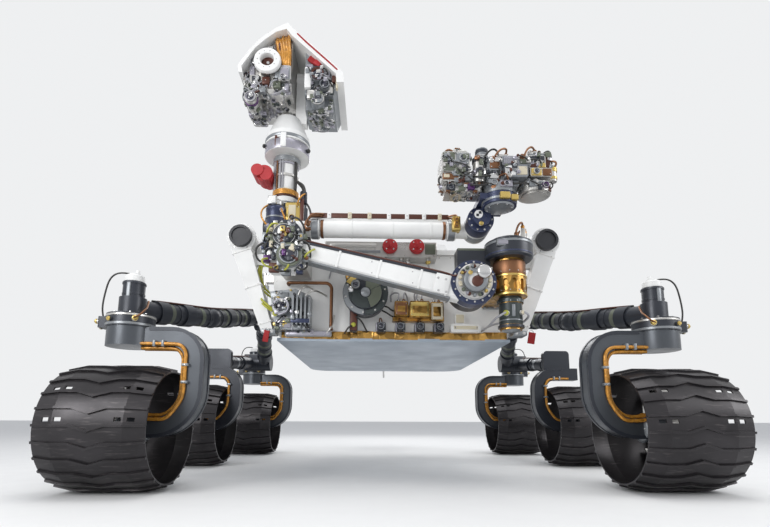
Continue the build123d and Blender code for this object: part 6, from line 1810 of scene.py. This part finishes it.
        deck = Dressing("deck_instruments")
        for x0, y0, x1, y1 in ((-250, -859, -130, -719), (430, 211, 540, 351)):
            place, _ = seat("deck_fittings", (x0 + x1) / 2, (y0 + y1) / 2, look=DOWNWARD)
            z = place.z / MM
            deck.block((x0 + 8, y0 + 8, z - 1), (x1 - 8, y1 - 8, z + 4), "white", 2)
            corners = [(x, y, z + 4) for x in (x0 + 16, x1 - 16) for y in (y0 + 16, y1 - 16)]
            deck.screws(corners, UPWARD, radius=3.5)
            deck.connector(at((x0 + x1) / 2, y1 - 2, 1130), AFTWARD, "metal", "brass", 9, 20)
        for x, y, size in ((120, -799, 44), (260, -769, 36)):
            place, _ = seat("deck_fittings", x, y, look=DOWNWARD)
            z = place.z / MM
            deck.turned([(0, 7), (size * 0.4, 7), (size * 0.5, 4), (size * 0.8, 3), (size * 0.8, -2), (0, -2)],
                        at(x, y, z), UPWARD, "slate", 36)
            deck.bolt_circle((x, y, z + 1), UPWARD, size * 0.9, 8, size=2.6)
        for y in range(-780, 80, 120):
            place, _ = seat("deck_fittings", -455, y, look=DOWNWARD)
            deck.hexagon(place, UPWARD, "steel", 4)
        deck.done()
        cable("deck_cables", [
            [(-190, -700, 1130), (-190, -680, 1124), (-230, -660, 1119), (-320, -640, 1119), (-420, -620, 1119),
             (-441, -616, 1120)],
            [(485, 372, 1130), (485, 384, 1124), (440, 396, 1119), (340, 396, 1119), (200, 392, 1119), (60, 380, 1119),
             (-100, 372, 1119), (-300, 366, 1119), (-400, 330, 1119), (-455, 200, 1119), (-455, 92, 1120)],
            [(404, 70, 1148), (420, 64, 1140), (440, 60, 1122), (480, 40, 1119), (560, 0, 1119), (585, -60, 1119),
             (585, -400, 1119), (585, -800, 1119), (575, -930, 1118)],
            [(-248, 170, 1148), (-232, 166, 1138), (-222, 162, 1122), (-220, 120, 1119), (-230, 60, 1119),
             (-300, 20, 1119), (-400, 16, 1119), (-441, 16, 1120)],
        ], lead * 1.6, "grey_sheath")
        return {"FINISHED"}


class ROVER_OT_finishes(bpy.types.Operator):
    """Finishes on every carried-over node."""

    bl_idname = "rover.finishes"
    bl_label = "Node Finishes"

    def execute(self, context):
        make_finishes(context.scene.rover_finishes)
        for finish, nodes in NODE_FINISHES.items():
            for node in nodes:
                give(node, FINISHES[finish])
        return {"FINISHED"}


# Half size of the floor in metres, and the world's tones
FLOOR_HALF = 60
AMBIENT_TONE, AMBIENT_STRENGTH, BACKDROP_TONE = (0.90, 0.93, 1.0), 0.60, (0.86, 0.87, 0.88)
# Lamps: place and aim in metres, size in metres, power in watts
LAMPS = (
    ("lamp_over", (0.3, -1.2, 6.0), (0.0, -0.2, 0.8), 4.5, 150),
    ("lamp_front", (-2.6, -4.2, 2.0), (0.0, -0.8, 0.9), 2.2, 84),
    ("lamp_side", (3.8, -2.6, 2.2), (0.0, -0.8, 0.8), 2.0, 50),
    ("lamp_back", (0.5, 4.2, 3.4), (0.0, 0.2, 0.9), 2.5, 58),
)
# Camera: focal length in millimetres, rise in the picture, place in metres, turns in degrees
VIEW_LENS, VIEW_RISE, VIEW_PLACE = 21.784, 0.1088, (-0.1051, -3.190, 0.2842)
VIEW_YAW, VIEW_PITCH, VIEW_ROLL = -1.57, 8.81, 0.19


class ROVER_OT_stage(bpy.types.Operator):
    """Pale floor, soft lamps and the camera of the view."""

    bl_idname = "rover.stage"
    bl_label = "Stage, Lamps and Camera"

    def execute(self, context):
        scene = context.scene
        scene.view_settings.view_transform = "Standard"
        floor_mesh = bpy.data.meshes.new("studio_floor")
        shape = bmesh.new()
        bmesh.ops.create_grid(shape, x_segments=2, y_segments=2, size=FLOOR_HALF)
        shape.to_mesh(floor_mesh)
        shape.free()
        floor = bpy.data.objects.new("studio_floor", floor_mesh)
        scene.collection.objects.link(floor)
        floor_mesh.materials.append(
            painted("studio floor", scene.rover_finishes.floor, rough=0.75, wear=0, bump=0, blotch=0.02)
        )
        world = bpy.data.worlds.new("studio_world")
        scene.world = world
        world.use_nodes = True
        tree = world.node_tree
        ambient = tree.nodes["Background"]
        fill(tree, ambient, {"Color": AMBIENT_TONE, "Strength": AMBIENT_STRENGTH})
        backdrop = shade(tree, "ShaderNodeBackground", {"Color": BACKDROP_TONE, "Strength": 1.0})
        # The backdrop is what the camera, reflections and glass see; the ambient tone lights the rest
        path = shade(tree, "ShaderNodeLightPath", {})
        seen = path["Is Camera Ray"]
        for ray in ("Is Glossy Ray", "Is Transmission Ray"):
            seen = shade(tree, "ShaderNodeMath", {0: seen, 1: path[ray]}, operation="MAXIMUM")["Value"]
        both = shade(tree, "ShaderNodeMixShader", {
            "Fac": seen, 1: ambient.outputs["Background"], 2: backdrop["Background"],
        })
        tree.links.new(both["Shader"], tree.nodes["World Output"].inputs["Surface"])
        for name, place, aim, size, power in LAMPS:
            light = bpy.data.lights.new(name, "AREA")
            light.shape = "DISK"
            light.size = size
            light.energy = power
            lamp = bpy.data.objects.new(name, light)
            lamp.location = place
            toward = Vector(aim) - Vector(place)
            lamp.rotation_euler = toward.to_track_quat("-Z", "Y").to_euler()
            scene.collection.objects.link(lamp)
        lens = bpy.data.cameras.new("view")
        lens.sensor_width = 36
        lens.sensor_fit = "HORIZONTAL"
        lens.lens, lens.shift_y = VIEW_LENS, VIEW_RISE
        camera = bpy.data.objects.new("view", lens)
        camera.matrix_world = (
            Matrix.Translation(VIEW_PLACE)
            @ Matrix.Rotation(radians(VIEW_YAW), 4, "Z")
            @ Matrix.Rotation(radians(90 + VIEW_PITCH), 4, "X")
            @ Matrix.Rotation(radians(VIEW_ROLL), 4, "Z")
        )
        scene.collection.objects.link(camera)
        scene.camera = camera
        return {"FINISHED"}


OPERATORS = (
    ROVER_OT_stage, ROVER_OT_finishes, ROVER_OT_wheels, ROVER_OT_struts, ROVER_OT_steering,
    ROVER_OT_suspension, ROVER_OT_pivots, ROVER_OT_body, ROVER_OT_nose, ROVER_OT_mast, ROVER_OT_head,
    ROVER_OT_shoulder, ROVER_OT_arm, ROVER_OT_turret, ROVER_OT_aft,
)


class ROVER_PT_panel(bpy.types.Panel):
    """Lists the rover's pieces in the sidebar."""

    bl_idname = "ROVER_PT_panel"
    bl_label = "Planetary Rover"
    bl_space_type = "VIEW_3D"
    bl_region_type = "UI"
    bl_category = "Rover"

    def draw(self, context):
        for settings in (context.scene.rover_finishes, context.scene.rover_sizes):
            for name in type(settings).__annotations__:
                self.layout.prop(settings, name)
        for operator in OPERATORS:
            self.layout.operator(operator.bl_idname)


CLASSES = (RoverFinishes, RoverSizes, *OPERATORS, ROVER_PT_panel)


def register():
    for item in CLASSES:
        bpy.utils.register_class(item)
    bpy.types.Scene.rover_finishes = bpy.props.PointerProperty(type=RoverFinishes)
    bpy.types.Scene.rover_sizes = bpy.props.PointerProperty(type=RoverSizes)


def unregister():
    del bpy.types.Scene.rover_finishes
    del bpy.types.Scene.rover_sizes
    for item in reversed(CLASSES):
        bpy.utils.unregister_class(item)


def main():
    register()
    for operator in OPERATORS:
        group, name = operator.bl_idname.split(".")
        getattr(getattr(bpy.ops, group), name)()
    if MISSED:
        raise RuntimeError(f"no surface of a node lies on these lines: {MISSED}")


if __name__ == "__main__":
    main()
